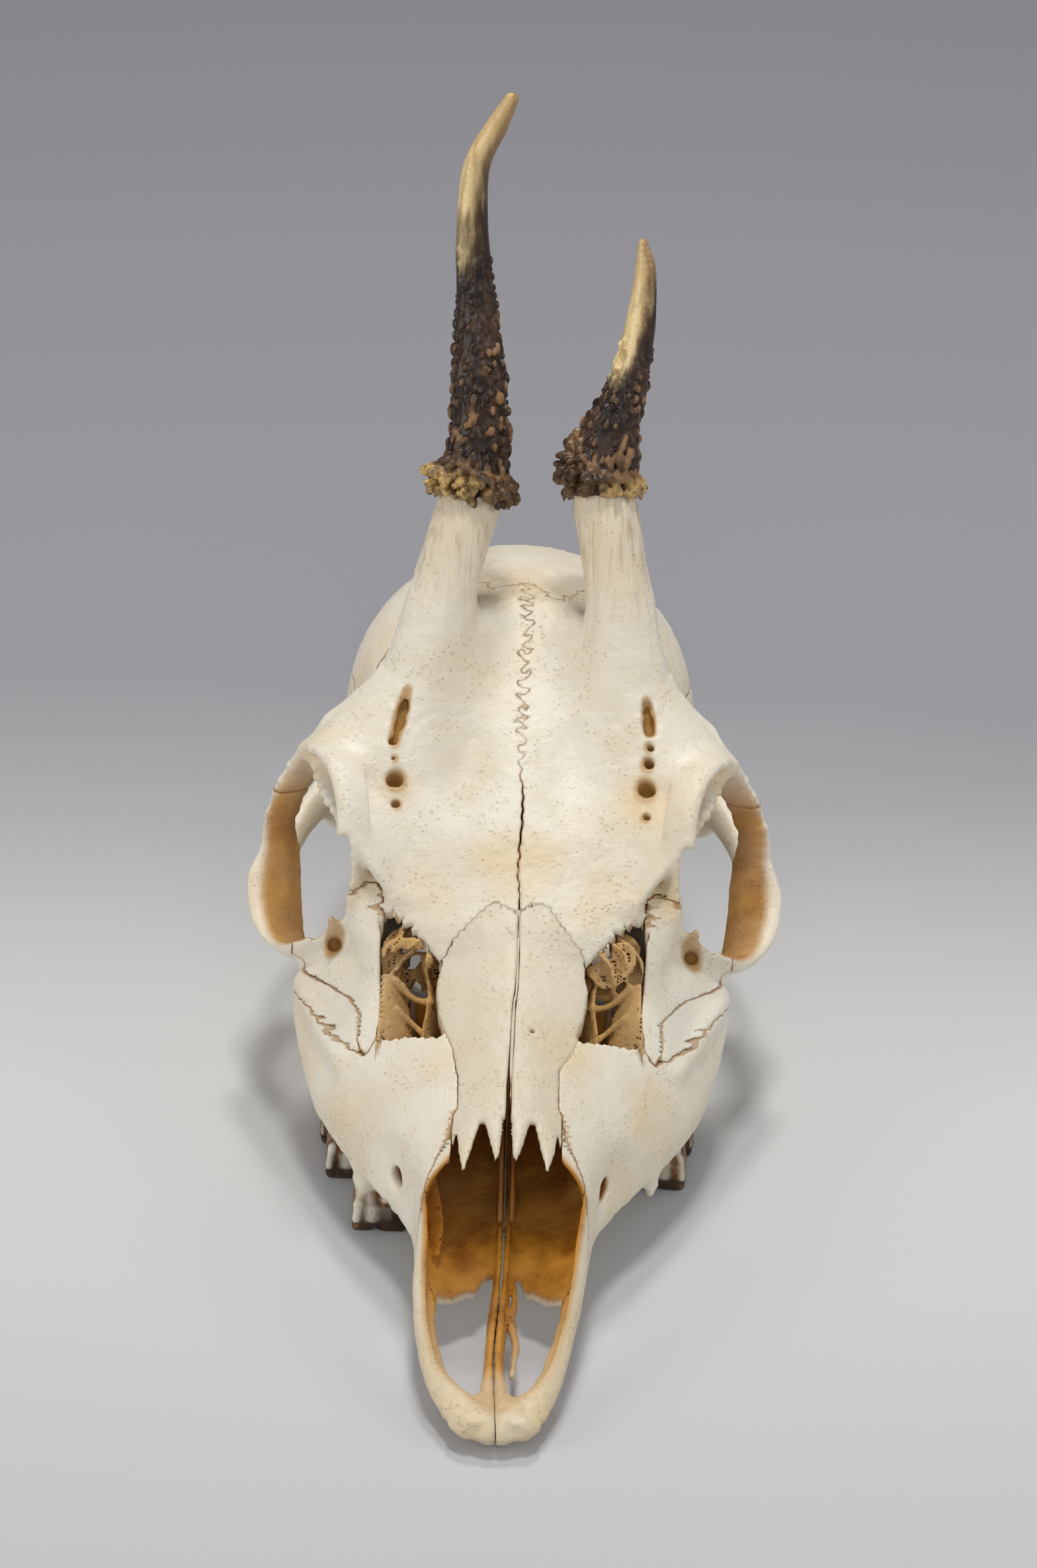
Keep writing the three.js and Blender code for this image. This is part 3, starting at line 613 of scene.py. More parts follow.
# Blood vessels' grooves in the forehead, with their depths.
BROW_GROOVES = (
    ([(-19, 112.5), (-18.2, 116), (-15.6, 118.6), (-12, 119.6), (-8, 121.4)], 0.168),
    ([(-17.6, 113), (-15.4, 116.6), (-12.4, 117.8)], 0.096),
    ([(-12, 119.4), (-9.6, 118.2), (-7.6, 118.2)], 0.072),
    ([(20, 113.5), (18.6, 116.4), (16.4, 118.6), (14.4, 121.6)], 0.144),
    ([(18.4, 112), (15.6, 113.6), (12.6, 114)], 0.096),
    ([(16.4, 118.6), (13.2, 119.6), (9.6, 119.8)], 0.084),
    ([(13.6, 129.4), (15, 127.6), (16.4, 126.6)], 0.12),
    ([(8, 101), (10.6, 98), (12.6, 94.6)], 0.06), ([(10, 104), (11.4, 100), (12, 97)], 0.048),
    ([(-11, 106), (-8.6, 103), (-8, 100)], 0.048),
)
PEDICLES = (
    (-1, [(-20.5, 124, 55), (-17, 129, 63.5), (-15.4, 133, 72.5), (-13.2, 139.5, 81.5),
          (-9.9, 147.8, 92.4)]),
    (1, [(21.5, 124, 55), (18.6, 129, 63.5), (17.4, 133, 72.5), (15.4, 139.5, 82), (12.6, 147.8, 93)]),
)
DUCT = (29.3, 94, 34.8, 1.3)  # the way in for the tears' duct: x, y, z, radius


def row_middle(y):
    return 12.5 + 13 * math.sin(math.pi / 2 * min(1, (y - 46) / 46))


def prong_top(x, y):
    """Height of the nasal bones' upper face over their prongs."""
    return 33 - 0.3 * (48 - y) - (0.034 - 0.0015 * (48 - y)) * x * x


def orbit_ring():
    """The ring of bone round an eye socket: narrow in front, broad at the bar behind."""
    c = ORBIT_CENTRE

    def field(x, y, z):
        p = (x - F(c[0]), y - F(c[1]), z - F(c[2]))
        h, a, b = dot(ORBIT_AXIS, p), dot(ORBIT_BACK, p), dot(ORBIT_DOWN, p)
        radius = np.sqrt(a * a + b * b) + 1e-3
        cosine, sine = a / radius, b / radius
        turn = np.arctan2(b, a)
        wide = 3.4 + 0.8 * cosine + RING_BROAD(turn)
        thick = 1.55 + 0.25 * cosine
        frill = 0.45 * np.maximum(0.9 * cosine - 0.4 * sine - 0.3, 0) * (
            np.sin(turn * 31) + np.sin(turn * 53 + 1.0) + np.sin(turn * 17 + 2.0))
        middle = F(ORBIT_RADIUS) + 0.5 * np.sin(2 * turn + 0.6) - 0.25 * frill
        u, v = (radius - middle) / thick, (h - 0.5 * frill - 0.3 - RING_LEAN(turn)) / wide
        near = np.sqrt(u * u + v * v)
        far = np.sqrt((u / thick) ** 2 + (v / wide) ** 2 + 1e-6)
        return near * (near - 1) / far

    reach = ORBIT_RADIUS + 6
    return c - reach, c + reach, field


def tooth(y, length, width, side):
    """A cheek tooth: two lobes side by side, ribbed on its outer face, worn to crescents below."""
    x = side * row_middle(y)
    lean = 0.10 * side
    shapes = []
    for half in (-1, 1):
        cy = y + half * length * 0.235
        outer, inner = x + side * width * 0.16, x - side * width * 0.2
        r = length * 0.29
        shapes.append(strap([(outer, cy, -1), (outer, cy, 6), (outer - lean * 6, cy, 15)],
                            (r, r * 1.02, r * 0.8), (width * 0.33, width * 0.35, width * 0.26), (0, 1, 0),
                            5))
        shapes.append(strap([(inner, cy, -1), (inner, cy, 6), (inner, cy, 14)],
                            (r * 0.9, r * 0.95, r * 0.75), (width * 0.29, width * 0.32, width * 0.24),
                            (0, 1, 0), 5))
    ribs = []
    for place in (-0.47, -0.02, 0.43):
        rx = x + side * width * 0.44
        ribs.append(rod([(rx, y + place * length, -1), (rx + side * 0.2, y + place * length, 5),
                         (rx - side * 1.4, y + place * length, 12)], (0.7, 0.75, 0.5)))
    for place in (-0.24, 0.24):
        rx = x + side * width * 0.43
        ribs.append(rod([(rx, y + place * length, -1), (rx, y + place * length, 5),
                         (rx - side * 1.0, y + place * length, 11)], (0.8, 0.8, 0.5)))
    pits = []
    for half in (-1, 1):
        cy = y + half * length * 0.235
        pits.append(strap([(x - side * 0.4, cy - length * 0.17, 0.2), (x + side * 1.2, cy, 0.2),
                           (x - side * 0.4, cy + length * 0.17, 0.2)], (1.5, 1.7, 1.5), (0.35, 0.5, 0.35),
                           (0, 0, 1), 7))
    for place in (-0.5, 0, 0.5):
        cy = y + place * length
        pits.append(prism([(cy - 1.9, -1), (cy + 1.9, -1), (cy, 2.9)], x - 9, x + 9, "x"))
    return shapes, ribs, pits


def add_outer_forms(v):
    """Face and braincase, the rim of the eye, the arch behind it, and the hollows of the cheek."""
    v.add(loft(FACE, round_end=3.0), 0)
    v.add(loft(CRANIUM, round_end=3.0), 3.0)
    # The rim and bar round the eye, and the arch behind it.
    v.add(orbit_ring(), 3.0)
    v.add(strap([(40.5, 119, 31), (40.6, 128, 29.6), (38.4, 139, 31), (34, 148, 33.6), (26, 156, 36)],
                (4.4, 3.2, 2.8, 3.4, 4.4), (2.1, 1.6, 1.7, 2.4, 3.2), (0, 0, 1), 16), 1.6)
    v.add(strap([(31.5, 148, 29), (29.5, 152, 28.6), (26, 155, 29)], (1.6, 1.8, 1.6), (4.4, 4.0, 3.4),
                (0, 0, 1), 6), 2.0)
    # Between the eyes the forehead is gently dished.
    v.cut(ellipsoid((9, 104, 67.6), (8, 15, 11.6)), 4.0)
    # Depression in front of the eye, and the hollow of the cheek below it.
    v.cut(ellipsoid((36.8, 86, 38.6), (6.5, 9, 6.2)), 5.0)
    v.cut(ellipsoid((39.5, 68, 25), (8.6, 13, 9)), 5.0)
    v.add(strap([(34.6, 94, 27.4), (31.2, 84, 25.6), (27.2, 75, 24)], (1.4, 1.2, 0.5), (1.2, 1.0, 0.5),
                (0, 0, 1)), 3.0)
    v.cut(ellipsoid((21.8, 38, 20.0), (6.2, 15, 8)), 5.0)
    # Tooth sockets bulge a little below the cheek.
    for y, length, width, _ in TEETH:
        for half in (-0.25, 0.25):
            x = row_middle(y) + width * 0.34
            v.add(rod([(x, y + half * length, 9.8), (x + 0.2, y + half * length, 15)], (1.6, 1.0)), 2.2)


def add_rear(v):
    """The drum, the ear, the condyle, the hanging process, the crest and the lines of the temple."""
    v.add(ellipsoid((14.5, 157, 19.5), (6, 9, 7)), 1.6)
    v.add(rod([(18, 157, 23), (25, 156, 27), (29.5, 156, 29)], (4.2, 3.5, 3.1)), 1.5)
    v.cut(rod([(27, 156, 28), (33, 156, 30)], (1.5, 1.9)), 0.4)
    v.add(rod([(6.2, 184.5, 22), (9.4, 187.3, 26.5), (12.2, 184.6, 32.6)], (4.0, 5.1, 3.9)), 2.0)
    v.add(strap([(18.6, 173, 33), (20.6, 171.6, 17), (19.8, 170, 7), (18.6, 169, -2)],
                (4.6, 3.6, 2.8, 1.9), (3.2, 2.2, 1.7, 1.3), (0, 1, 0), 12), 3.0)
    v.add(strap([(-0.6, 181.5, 64.6), (11, 181.4, 61), (20.6, 179.5, 52.3), (24.6, 176, 40)],
                (1.7, 1.7, 1.9, 2.3), (2.5, 2.5, 2.6, 2.5), (0, 0, 1), 10), 3.0)
    v.cut(ellipsoid((10, 190.5, 49), (8, 5.5, 9)), 4.0)
    v.add(rod([(0, 184.5, 62), (0, 186.6, 50), (0, 185.2, 41)], (1.4, 1.0, 0.5)), 3.0)
    v.cut(ellipsoid((24.5, 184, 34), (4.5, 5, 8)), 3.0)
    # Lines of the temple muscle, and a blood vessel's groove.
    v.line([(22, 137), (17, 148), (12.5, 160), (11, 172), (13, 180)], 1.1, -0.45, 50, 80)
    v.line([(23.4, 139), (18.6, 150), (14.2, 161), (12.8, 172)], 1.0, 0.25, 50, 80)


def cut_hollows(v):
    """The hollow of the nose, the passages back from it, the palate's vault and the eye's socket."""
    v.cut(loft(NOSE_HOLLOW, round_end=1.0), 0.6)
    v.cut(rod([(15.4, 82, 36.5), (15.0, 98, 28.2), (14.6, 112, 20.6), (14.2, 125, 13.6)],
              (4.2, 3.8, 3.8, 4.2)), 1.0)
    v.cut(strap([(0.3, 77, 34.6), (0.3, 98, 24.2), (0.3, 119, 13.2)], (5.2, 4.6, 5.2), (1.7, 1.4, 1.7),
                (0, 0, 1), 8), 0.6)
    v.cut(ellipsoid((0, 189.5, 31.5), (8.2, 12, 6.6)), 1.2)
    v.cut(strap([(0, 34, 3.8), (0, 60, 5.0), (0, 80, 5.2), (0, 104, 5.8), (0, 113, 7)],
                (6.5, 11, 15.3, 16.8, 17), (3.0, 5.0, 6.0, 6.4, 6.6), (1, 0, 0), 12), 1.0)
    v.cut(ellipsoid((0, 121, 14.5), (6.4, 18, 11)), 1.5)
    socket_turn = np.array((ORBIT_BACK, ORBIT_DOWN, ORBIT_AXIS))
    v.cut(ellipsoid(ORBIT_CENTRE, (15.9, 15.9, 20.0), socket_turn), 0.9)


def shape_brow(v):
    """The brow over the socket with its crinkled rim, the socket's front rim, and the gap before it."""
    rim = jagged([(26.8, 96), (28.2, 98.5), (30.8, 104), (33.0, 110), (34.6, 116.4)], 2.4, 0.45, 4)

    def brow(x, y):
        across = np.clip((x - 20) / (8 + 0.286 * (y - 97)), 0, 1.2)
        forehead = 57.2 + BROW_SLOPE * (y - 109.2) - 0.4 * np.maximum(20 - x, 0)
        return forehead * (1 - across) + (55.0 + 0.12 * (y - 97)) * across

    v.add(sheet([(12, 92), (20, 90.5), (24, 93)] + rim + [(36, 121), (33, 127), (12, 127)], brow, 2.4, 1.6),
          2.0)
    v.hollow(ellipsoid((15.2, 90, 36), (6.6, 11, 11.5)), 1.3)
    # The front rim of the socket, with a spur over the way in for the tears' duct.
    v.cut(slanted(jagged([(27.6, 54.6), (27.0, 53.0), (26.8, 50.0), (26.7, 47.3), (27.4, 43.7)], 2.0, 0.25,
                         9)
                  + [(27.5, 40.2), (27.9, 38.8), (29.2, 38.3), (29.9, 39.3), (30.4, 38.8), (30.6, 37.8),
                     (30.2, 37.2), (31.1, 36.2),
                     (33.1, 34.4), (34.5, 37), (34.5, 54.6)], 86, 106), 0.5)
    top = jagged([(22.4, 88.6), (21.2, 90.2), (19.6, 89.8), (17.4, 88.4), (16, 86.2), (14.8, 85),
                  (13.6, 83.8), (12.0, 81.6)],
                 1.6, 0.95, 5)
    low = jagged([(10.4, 66.4), (11.6, 66.2), (14.6, 68.4), (17.6, 70.2), (20.4, 72.2)], 1.8, 0.35, 6)
    v.cut(prism(top + [(12.3, 77), (11.6, 71)] + low + [(21.2, 80)], 13, 60), 0.35)


def shape_muzzle(v):
    """The fissures of the palate, the slit between the two muzzle bones, and their spongy tip."""
    ragged = jagged([(9.8, 30.4), (7.4, 31.2), (5.6, 33.0), (3.7, 33.4), (2.6, 36.4), (1.5, 37.8)], 1.3,
                    0.3, 8)
    v.cut(prism([(1.6, 27), (1.35, 21), (1.6, 14), (2.2, 9.8), (3.5, 8.4), (5.2, 9.4), (7.1, 13.6),
                 (8.8, 20.0), (9.9, 26.4)] + ragged,
                -2, 13.5, wander=0.12, bump=3.0, seed=9), 0.6)
    v.cut(prism([(-0.4, 35.6), (0.4, 35.6), (0.6, 41), (0.3, 47.5), (-0.3, 47.5)], 2, 13), 0.3)
    v.line([(0, -1), (0, 12), (0, 30)], 0.5, 0.4, 2.2, 14)
    v.roughen((0, -1, 0), (12, 12, 12), lambda x, y, z: (
        0.34 * value_noise(x, y, z, 1.5, 12) * np.clip((11 - y) / 4, 0, 1)))


def shape_prongs(v):
    """The two prongs at each nasal bone's end, clear of the bones beside and below them."""
    v.cut(prism([(-1, 33), (8.6, 33), (8.6, 41.5), (7.9, 48), (7.8, 49.4), (7.0, 49.6), (6.5, 46.5),
                 (-1, 46.5)], 24.5, 45), 0.4)
    prongs = [(0.75, 53), (0.75, 44), (0.95, 39.6), (1.6, 37.7), (2.2, 39.8), (2.9, 43), (3.6, 46.0),
              (4.3, 46.2), (5.0, 43), (5.7, 39.8),
              (6.4, 36.7), (6.9, 37.2), (7.6, 41), (8.0, 45), (8.4, 53)]
    v.add(sheet(prongs, prong_top, 1.15, 0.8), 0.4)


def finish_half(v):
    """The way in for the tears' duct, the strut of the palate, and the wings under the skull."""
    v.cut(rod([(29.2, 89, 38.2), (29.4, 95.2, 34.2)], (1.35, 1.1)), 0.7)
    v.add(strap([(0.95, 2, 3.0), (0.85, 9, 4.2), (0.7, 16, 5.4), (0.6, 26, 7.2), (0.6, 36, 9.0),
                 (0.7, 46, 11.4)],
                (1.6, 1.6, 1.4, 1.3, 1.2, 0.9), (1.4, 0.95, 0.6, 0.5, 0.45, 0.4), (0, 0, 1), 15), 0.7)
    v.add(strap([(8.2, 102, 17), (8, 113, 17.5), (7.6, 124, 18.5), (7, 134, 20.5)], (6, 7, 7, 5),
                (1.5, 1.1, 1.1, 1.4),
                (0, 0, 1), 9), 1.6)


def build_half():
    """What both sides share, for x from 0 outwards."""
    v = Volume((0, -1.2, -0.9), (46.8, 193.8, 80), STEP)
    for work in (add_outer_forms, add_rear, cut_hollows, shape_brow, shape_muzzle, shape_prongs,
                 finish_half):
        work(v)
    return v


def add_pedicles(v):
    """The pedicles grow out of the brow, streaked along their length."""
    for sign, points in PEDICLES:
        v.add(strap(points, (9.6, 7.4, 6.2, 5.4, 5.4), (10.5, 8.8, 6.4, 5.5, 5.4), (1, 0, 0), 28), 7.0)
        v.roughen((sign * 15 - 12, 124, 66), (sign * 15 + 12, 153, 96), lambda x, y, z: (
            0.24 * value_noise(x, y - 0.62 * z, z, (1.3, 1.3, 15), 14) * np.clip((z - 68) / 14, 0, 1)))


def add_teeth(v):
    """The cheek teeth, and the sockets that have lost theirs."""
    for y, length, width, sides in TEETH:
        for s in sides:
            lobes, ribs, pits = tooth(y, length, width, s)
            for shape in lobes:
                v.add(shape, 1.0)
            for shape in ribs:
                v.add(shape, 0.9)
            for shape in pits:
                v.cut(shape, 0.4)
    for y, s in LOST_TEETH:
        x = s * row_middle(y)
        v.cut(ellipsoid((x, y, 8.2), (3.6, 3.8, 2.4)), 1.0)
        for dx, dy, r in ((1.9, -1.8, 1.2), (2.0, 2.0, 1.25), (-1.9, -0.2, 1.5)):
            v.cut(rod([(x + s * dx, y + dy, 7), (x + s * dx * 0.8, y + dy, 14.5)], (r * 1.1, r * 0.6)), 0.5)
    for s in (-1, 1):
        v.roughen((s * 20 - 9, 48, 6), (s * 20 + 9, 78, 13), lambda x, y, z: (
            0.35 * value_noise(x, y, z, 1.3, 15) * np.clip((13 - z) / 3, 0, 1)))


def cut_foramina(v):
    """The brow's foramina: on each side a trench with openings, and round holes in front of it. Gives
    the places of all of them."""
    holes = [(s * DUCT[0], *DUCT[1:]) for s in (-1, 1)]
    for trench, radii in TRENCHES:
        route = [(x, y, v.top_at(x, y) - 0.2) for x, y in trench]
        holes += [(x, y, z, r) for (x, y, z), r in zip(along(route, 7), spread(radii, 7))]
        v.cut(rod(route, radii), 1.0)
        v.cut(rod([(x, y + 1.5, z - 3.5) for x, y, z in route], [0.75 * r for r in radii]), 0.6)
        v.cut(rod([(x, y + 0.5, z - 1.5) for x, y, z in route], [0.85 * r for r in radii]), 0.5)
        x, y, z = route[1]
        v.roughen((x - 2.6, y - 4.4, z - 4), (x + 2.6, y + 4.4, z + 4), lambda x, y, z, mx=x, my=y: (
            0.3 * value_noise(x, y, z, 1.1, 17)
            * np.clip(1.6 - np.hypot((x - mx) / 1.7, (y - my) / 3.2), 0, 1)))
    for x, y, r in BROW_HOLES:
        z = v.top_at(x, y)
        holes.append((x, y, z, r))
        v.cut(rod([(x, y - 1.0, z + 3), (x + math.copysign(0.6, x), y + 2.4, z - 4.0),
                   (x + math.copysign(2, x), y + 4, z - 8)],
                  (r * 1.05, r * 0.9, r * 0.9), 3), 0.5)
    return holes


def cut_small_openings(v):
    """The grooves of the forehead, the foramina of the cheek and a pore in a nasal bone."""
    for points, depth in BROW_GROOVES:
        v.line(points, 0.34, depth, 35, 75)
    for x, y, z, s in ((-17.9, 48.6, 16.4, -1), (16.9, 44.6, 16.6, 1)):
        v.cut(rod([(x + 5 * s, y - 8, z - 0.6), (x - 2 * s, y + 5, z + 1.5)], (1.7, 1.3)), 1.2)
    v.cut(rod([(3.4, 64.4, 39), (3.6, 65, 34)], (0.4, 0.4)), 0.2)


def add_shreds(v):
    """Shreds of thin bone: one in the fissure, one on the wall of the nose."""
    v.add(strap([(1.5, 37.5, 8.8), (2.4, 31, 7.7), (2.0, 27, 7), (3.3, 21.5, 5.9), (2.8, 15, 4.7)],
                (0.6, 0.5, 0.8, 0.55, 0.45),
                (THIN,) * 5, (1, 0, 0), 14), 0.3)
    v.add(strap([(-12.9, 49, 20), (-12.0, 44, 17.6), (-11.0, 39.5, 15.4), (-10.6, 36, 13)],
                (1.6, 2.2, 1.9, 0.9), (THIN,) * 4,
                (1, -0.4, 0.5), 10), 0.4)


def build_skull():
    """The whole skull: both halves, and then what is different on each side."""
    half = build_half()
    v = Volume((-46.8, -1.2, -0.9), (46.8, 193.8, 97), STEP)
    n = len(half.axes[0])
    side = half.f[:, : v.f.shape[1], :]
    whole = np.concatenate([side[:0:-1], side])
    v.axes[0] = np.concatenate([-half.axes[0][:0:-1], half.axes[0]])
    v.low[0] = float(v.axes[0][0])
    v.f = np.full((2 * n - 1, v.f.shape[1], v.f.shape[2]), FAR, F)
    v.f[:, :, : whole.shape[2]] = whole
    add_pedicles(v)
    add_teeth(v)
    holes = cut_foramina(v)
    cut_small_openings(v)
    add_shreds(v)
    # All of it ends at the floor.
    v.f = np.maximum(v.f, -np.ix_(*v.axes)[2])
    return v, holes


def build_nose(skull):
    """The blades and scrolls inside the nose, clear of the bones round them."""
    v = Volume((-22, 42, 9), (22, 110, 42), STEP)
    for side in (-1, 1):
        x = 0.2 + side * 0.95
        v.add(strap([(x, 47.5, 12.2), (x, 53, 13.4), (x, 64, 16.6), (x, 78, 20.4), (x, 92, 23),
                     (x, 106, 20)],
                    (0.8, 2.4, 3.8, 4.6, 5.6, 4), (THIN,) * 6, (0, 0, 1), 16), 0.4)
    for side in (-1, 1):
        low, high, round_space = ellipsoid((side * 16.2, 87.5, 36.5), (5.6, 6.0, 6.4))

        def scrolls(x, y, z, side=side, round_space=round_space):
            bend = 1.7 * value_noise(x, y, z, 5, 20 + side) + 0.5 * value_noise(x, y, z, 1.8, 24 + side)
            across = 0.8 * (x * F(side)) + 0.3 * z + 0.5 * y + bend
            plates = np.abs(np.sin(across * F(math.pi / 3.4))) * 1.08 - 0.34
            other = np.abs(np.sin((0.7 * y - 0.75 * z + bend) * F(math.pi / 4.2))) * 1.3 - 0.3
            gaps = 1.3 * (value_noise(x, y, z, 3.6, 27 + side) - 0.3)
            return np.maximum(np.maximum(soft_min(plates, other, 0.4), gaps), round_space(x, y, z))

        v.add((low, high, scrolls), 0)
        # Crumpled plates stand on the outer wall and along the edge of the gap.
        v.add(strap([(side * 18.9, 70.5, 27), (side * 18.6, 76, 31), (side * 19.2, 84, 34.5)],
                    (3.6, 3.8, 2.8), (THIN,) * 3,
                    (side * 0.7, 0, 0.7), 8), 0.5)
        v.add(strap([(side * 12.2, 68, 24.5), (side * 13.2, 74, 28), (side * 12.6, 80, 31.5),
                     (side * 13.6, 87, 34)], (2.0, 3.0, 3.2, 3.6),
                    (THIN,) * 4, (side * 0.25, 0, 1), 10), 0.5)
        v.add(rod([(side * 13.2, 74, 29.5), (side * 15.6, 76.5, 30.5), (side * 18.4, 78, 32.5)],
                  (0.6, 0.45, 0.6)), 0.6)
        v.add(rod([(side * 13.0, 79, 33.5), (side * 16.0, 81.0, 33.0), (side * 19.0, 82.5, 35.5)],
                  (0.6, 0.5, 0.7)), 0.6)
        v.add(rod([(side * 12.6, 67, 22), (side * 15.6, 71, 22), (side * 18.6, 74, 27)], (0.7, 0.7, 0.7)),
              0.6)
    grid = np.stack(np.meshgrid(*v.axes, indexing="ij"), -1).reshape(-1, 3)
    near = sampled(skull.f, (grid - skull.low) / STEP)[0].reshape(v.f.shape)
    v.f = np.maximum(v.f, 0.15 - near)
    return v


# ---- Bones ------------------------------------------------------------------------------------------

MIDLINE = smooth_line(
    (40, 54, 62, 69, 80, 90, 99, 104, 108, 112, 116, 122, 132, 140, 148, 200),
    (0.1, 0.15, 0.4, 0.6, 0.9, 0.7, 0.4, 0.8, 0.9, 0.3, 0.2, 0.3, 0.3, 0.7, 0, 0))
NASAL_GAP = smooth_line((40, 48, 60, 75, 88, 92, 110, 116, 200),
                        (1.1, 0.8, 0.65, 0.45, 0.25, 0.24, 0.12, 0, 0))


def midline(x, y):
    """Signed distance from the suture between the halves of the forehead, and of the nose."""
    flat = 0 * (x + y)
    loops = np.clip((y - 111) / 9, 0, 1)
    lean = np.sin(2.3 * x + 2.5 * value_noise(flat, y, flat, 3.5, 12))
    bent = y + loops * (0.5 * value_noise(x, y, flat, 2.0, 2) + 0.4 * lean
                        + 0.42 * value_noise(x, y, flat, 0.95, 31))
    wide = 0.1 + loops * (0.8 + 0.75 * value_noise(flat, y, flat, 2.6, 9))
    wave = np.sin(bent * 2.7 + 2.6 * value_noise(flat, bent, flat, 5.0, 5))
    way = wide * np.tanh(1.8 * wave) + 0.45 * (loops + 0.4) * value_noise(flat, bent, flat, 1.7, 8)
    wobble = np.where(y < 91, 0.12 * value_noise(flat, y, flat, 4.0, 6), way)
    wobble = wobble + 0.4 * loops * value_noise(x, y, flat, 1.0, 33)
    f = x - MIDLINE(y) - wobble
    if f.ndim == 3 and min(f.shape[:2]) > 2:
        gap_x, gap_y = float(x[1, 0, 0] - x[0, 0, 0]), float(y[0, 1, 0] - y[0, 0, 0])
        steep = np.sqrt(np.gradient(f, gap_x, axis=0) ** 2 + np.gradient(f, gap_y, axis=1) ** 2)
        f = f / np.maximum(steep, 0.8)
    return f


def one_side(shape, side):
    """The part of a shape on one side of the midline."""
    low, high, field = shape

    def kept(x, y, z):
        middle = midline(x, y)
        return np.maximum(field(x, y, z), NASAL_GAP(y) * 0.5 - middle * F(side))

    return low, high, kept


def paired(outline, low, high, side, seed, **words):
    p = [(side * x, y) for x, y in outline] if words.get("axis", "z") == "z" else outline
    if words.get("axis") == "x" and side < 0:
        low, high = -high, -low
    return prism(p, low, high, wander=words.pop("wander", 0.35), seed=seed + (side < 0) * 7, **words)


def nasal(side):
    edge = {1: [(8.6, 49.4), (8.0, 50.4), (8.0, 57.8), (9.8, 62.1), (11.6, 68.9), (12.9, 76), (12.6, 80),
                (11, 84), (7.7, 86.9), (6.2, 89.3), (4.5, 90.8), (2.5, 89.9), (0.5, 88.6), (-1, 88)],
            -1: [(8.6, 49.0), (8.0, 50), (8.2, 56.4), (9.0, 62.2), (10.2, 66.3), (11.7, 70.9), (12.1, 76.8),
                 (11.7, 81.5), (10.2, 84), (7.1, 86.8), (5.0, 88.8), (3.3, 90.4), (0.5, 88.9),
                 (-1.5, 88)]}[side]
    edge = edge[:5] + jagged(edge[5:], 1.3, 0.42, 13 + side)
    return one_side(prism([(side * x, y) for x, y in [(-1, 34), (8.9, 34)] + edge], 26, 60, wander=0.15,
                          bump=2.5, seed=11 + side), side)


def frontal(side):
    front = [(-2, 89.2), (0.5, 88.9), (3.3, 90.4), (5, 88.8), (7.1, 86.8), (10.2, 84), (12, 78),
             (12.6, 82.5), (13.7, 84.2),
             (16.2, 86.3), (19.8, 89.8)]
    eye = [(19.8, 89.6), (22.5, 89.8), (27, 89.8), (33, 91), (60, 92), (60, 128)]
    rear = {1: [(30, 136), (20, 145), (12, 150), (9.6, 149.4), (7.8, 146.6), (6.1, 144.9), (4.6, 145.2),
                (1.9, 148.6), (-2, 149)],
            -1: [(30, 136), (20, 146), (9, 150.6), (6.6, 150), (5.9, 147), (3.6, 147.9), (1.9, 148.3),
                 (-2, 149)]}[side]
    rear = jagged(rear, 1.5, 0.6, 19 + side)
    outline = [(side * x, y) for x, y in front + eye + rear]
    return one_side(prism(outline, 39, 140, wander=0.3, bump=1.9, seed=21 + side, rise=0.16, origin=81),
                    side)


def both_views(plan, profile, side, seed, **words):
    """The space inside an outline seen from above and another seen from the side."""
    first = paired(plan, -5, 90, side, seed, **words)
    second = paired(profile, 0, 60, side, seed + 2, axis="x", **words)

    def field(x, y, z):
        return np.maximum(first[2](x, y, z), second[2](x, y, z))

    return np.maximum(first[0], second[0]), np.minimum(first[1], second[1]), field


def lacrimal(side):
    plan = [(21.4, 90.8), (19.4, 73), (20.4, 73.4), (21.3, 76.6), (21.9, 72.7), (23.4, 71.7), (24.6, 75.2),
            (26, 78), (31, 88), (36.5, 94),
            (36.5, 99), (27, 99), (21.4, 93)]
    profile = [(70, 27.6), (72, 26.6), (74.4, 26.8), (77, 28.6), (80, 30.2), (84.6, 30.6), (90, 29.9),
               (95, 29.4), (99, 31), (98, 45)]
    profile += jagged([(96.5, 46.5), (93.5, 46.8), (90.6, 43.8), (87, 42)], 1.6, 0.4,
                      33 + side) + [(80, 50), (70, 50)]
    return both_views(plan, profile, side, 31, wander=0.3, bump=2.0)


def zygomatic(side):
    plan = [(22.6, 71), (60, 71), (60, 132), (36, 132), (31.5, 122), (30.5, 104), (30, 98), (22, 84)]
    profile = jagged([(74, 26.6), (79, 26.0), (84, 26.8), (88, 26.9), (92.6, 26.4), (96, 23)], 2.4, 0.32,
                     43 + side)
    profile += [(100, 18), (103, 9), (132, 9), (132, 60), (88, 60), (72, 40), (72, 27)]
    return both_views(plan, profile, side, 41, wander=0.2, bump=2.0)


def temporal(side):
    return [
        paired([(127, 23), (169, 21), (175, 36), (172, 52), (150, 55), (134, 51), (127, 44)], 17.5, 60,
               side, 51, axis="x", wander=0.7),
        paired([(7.6, 147), (32, 147), (32, 165), (24, 167), (7.6, 167)], 8, 40, side, 52)]


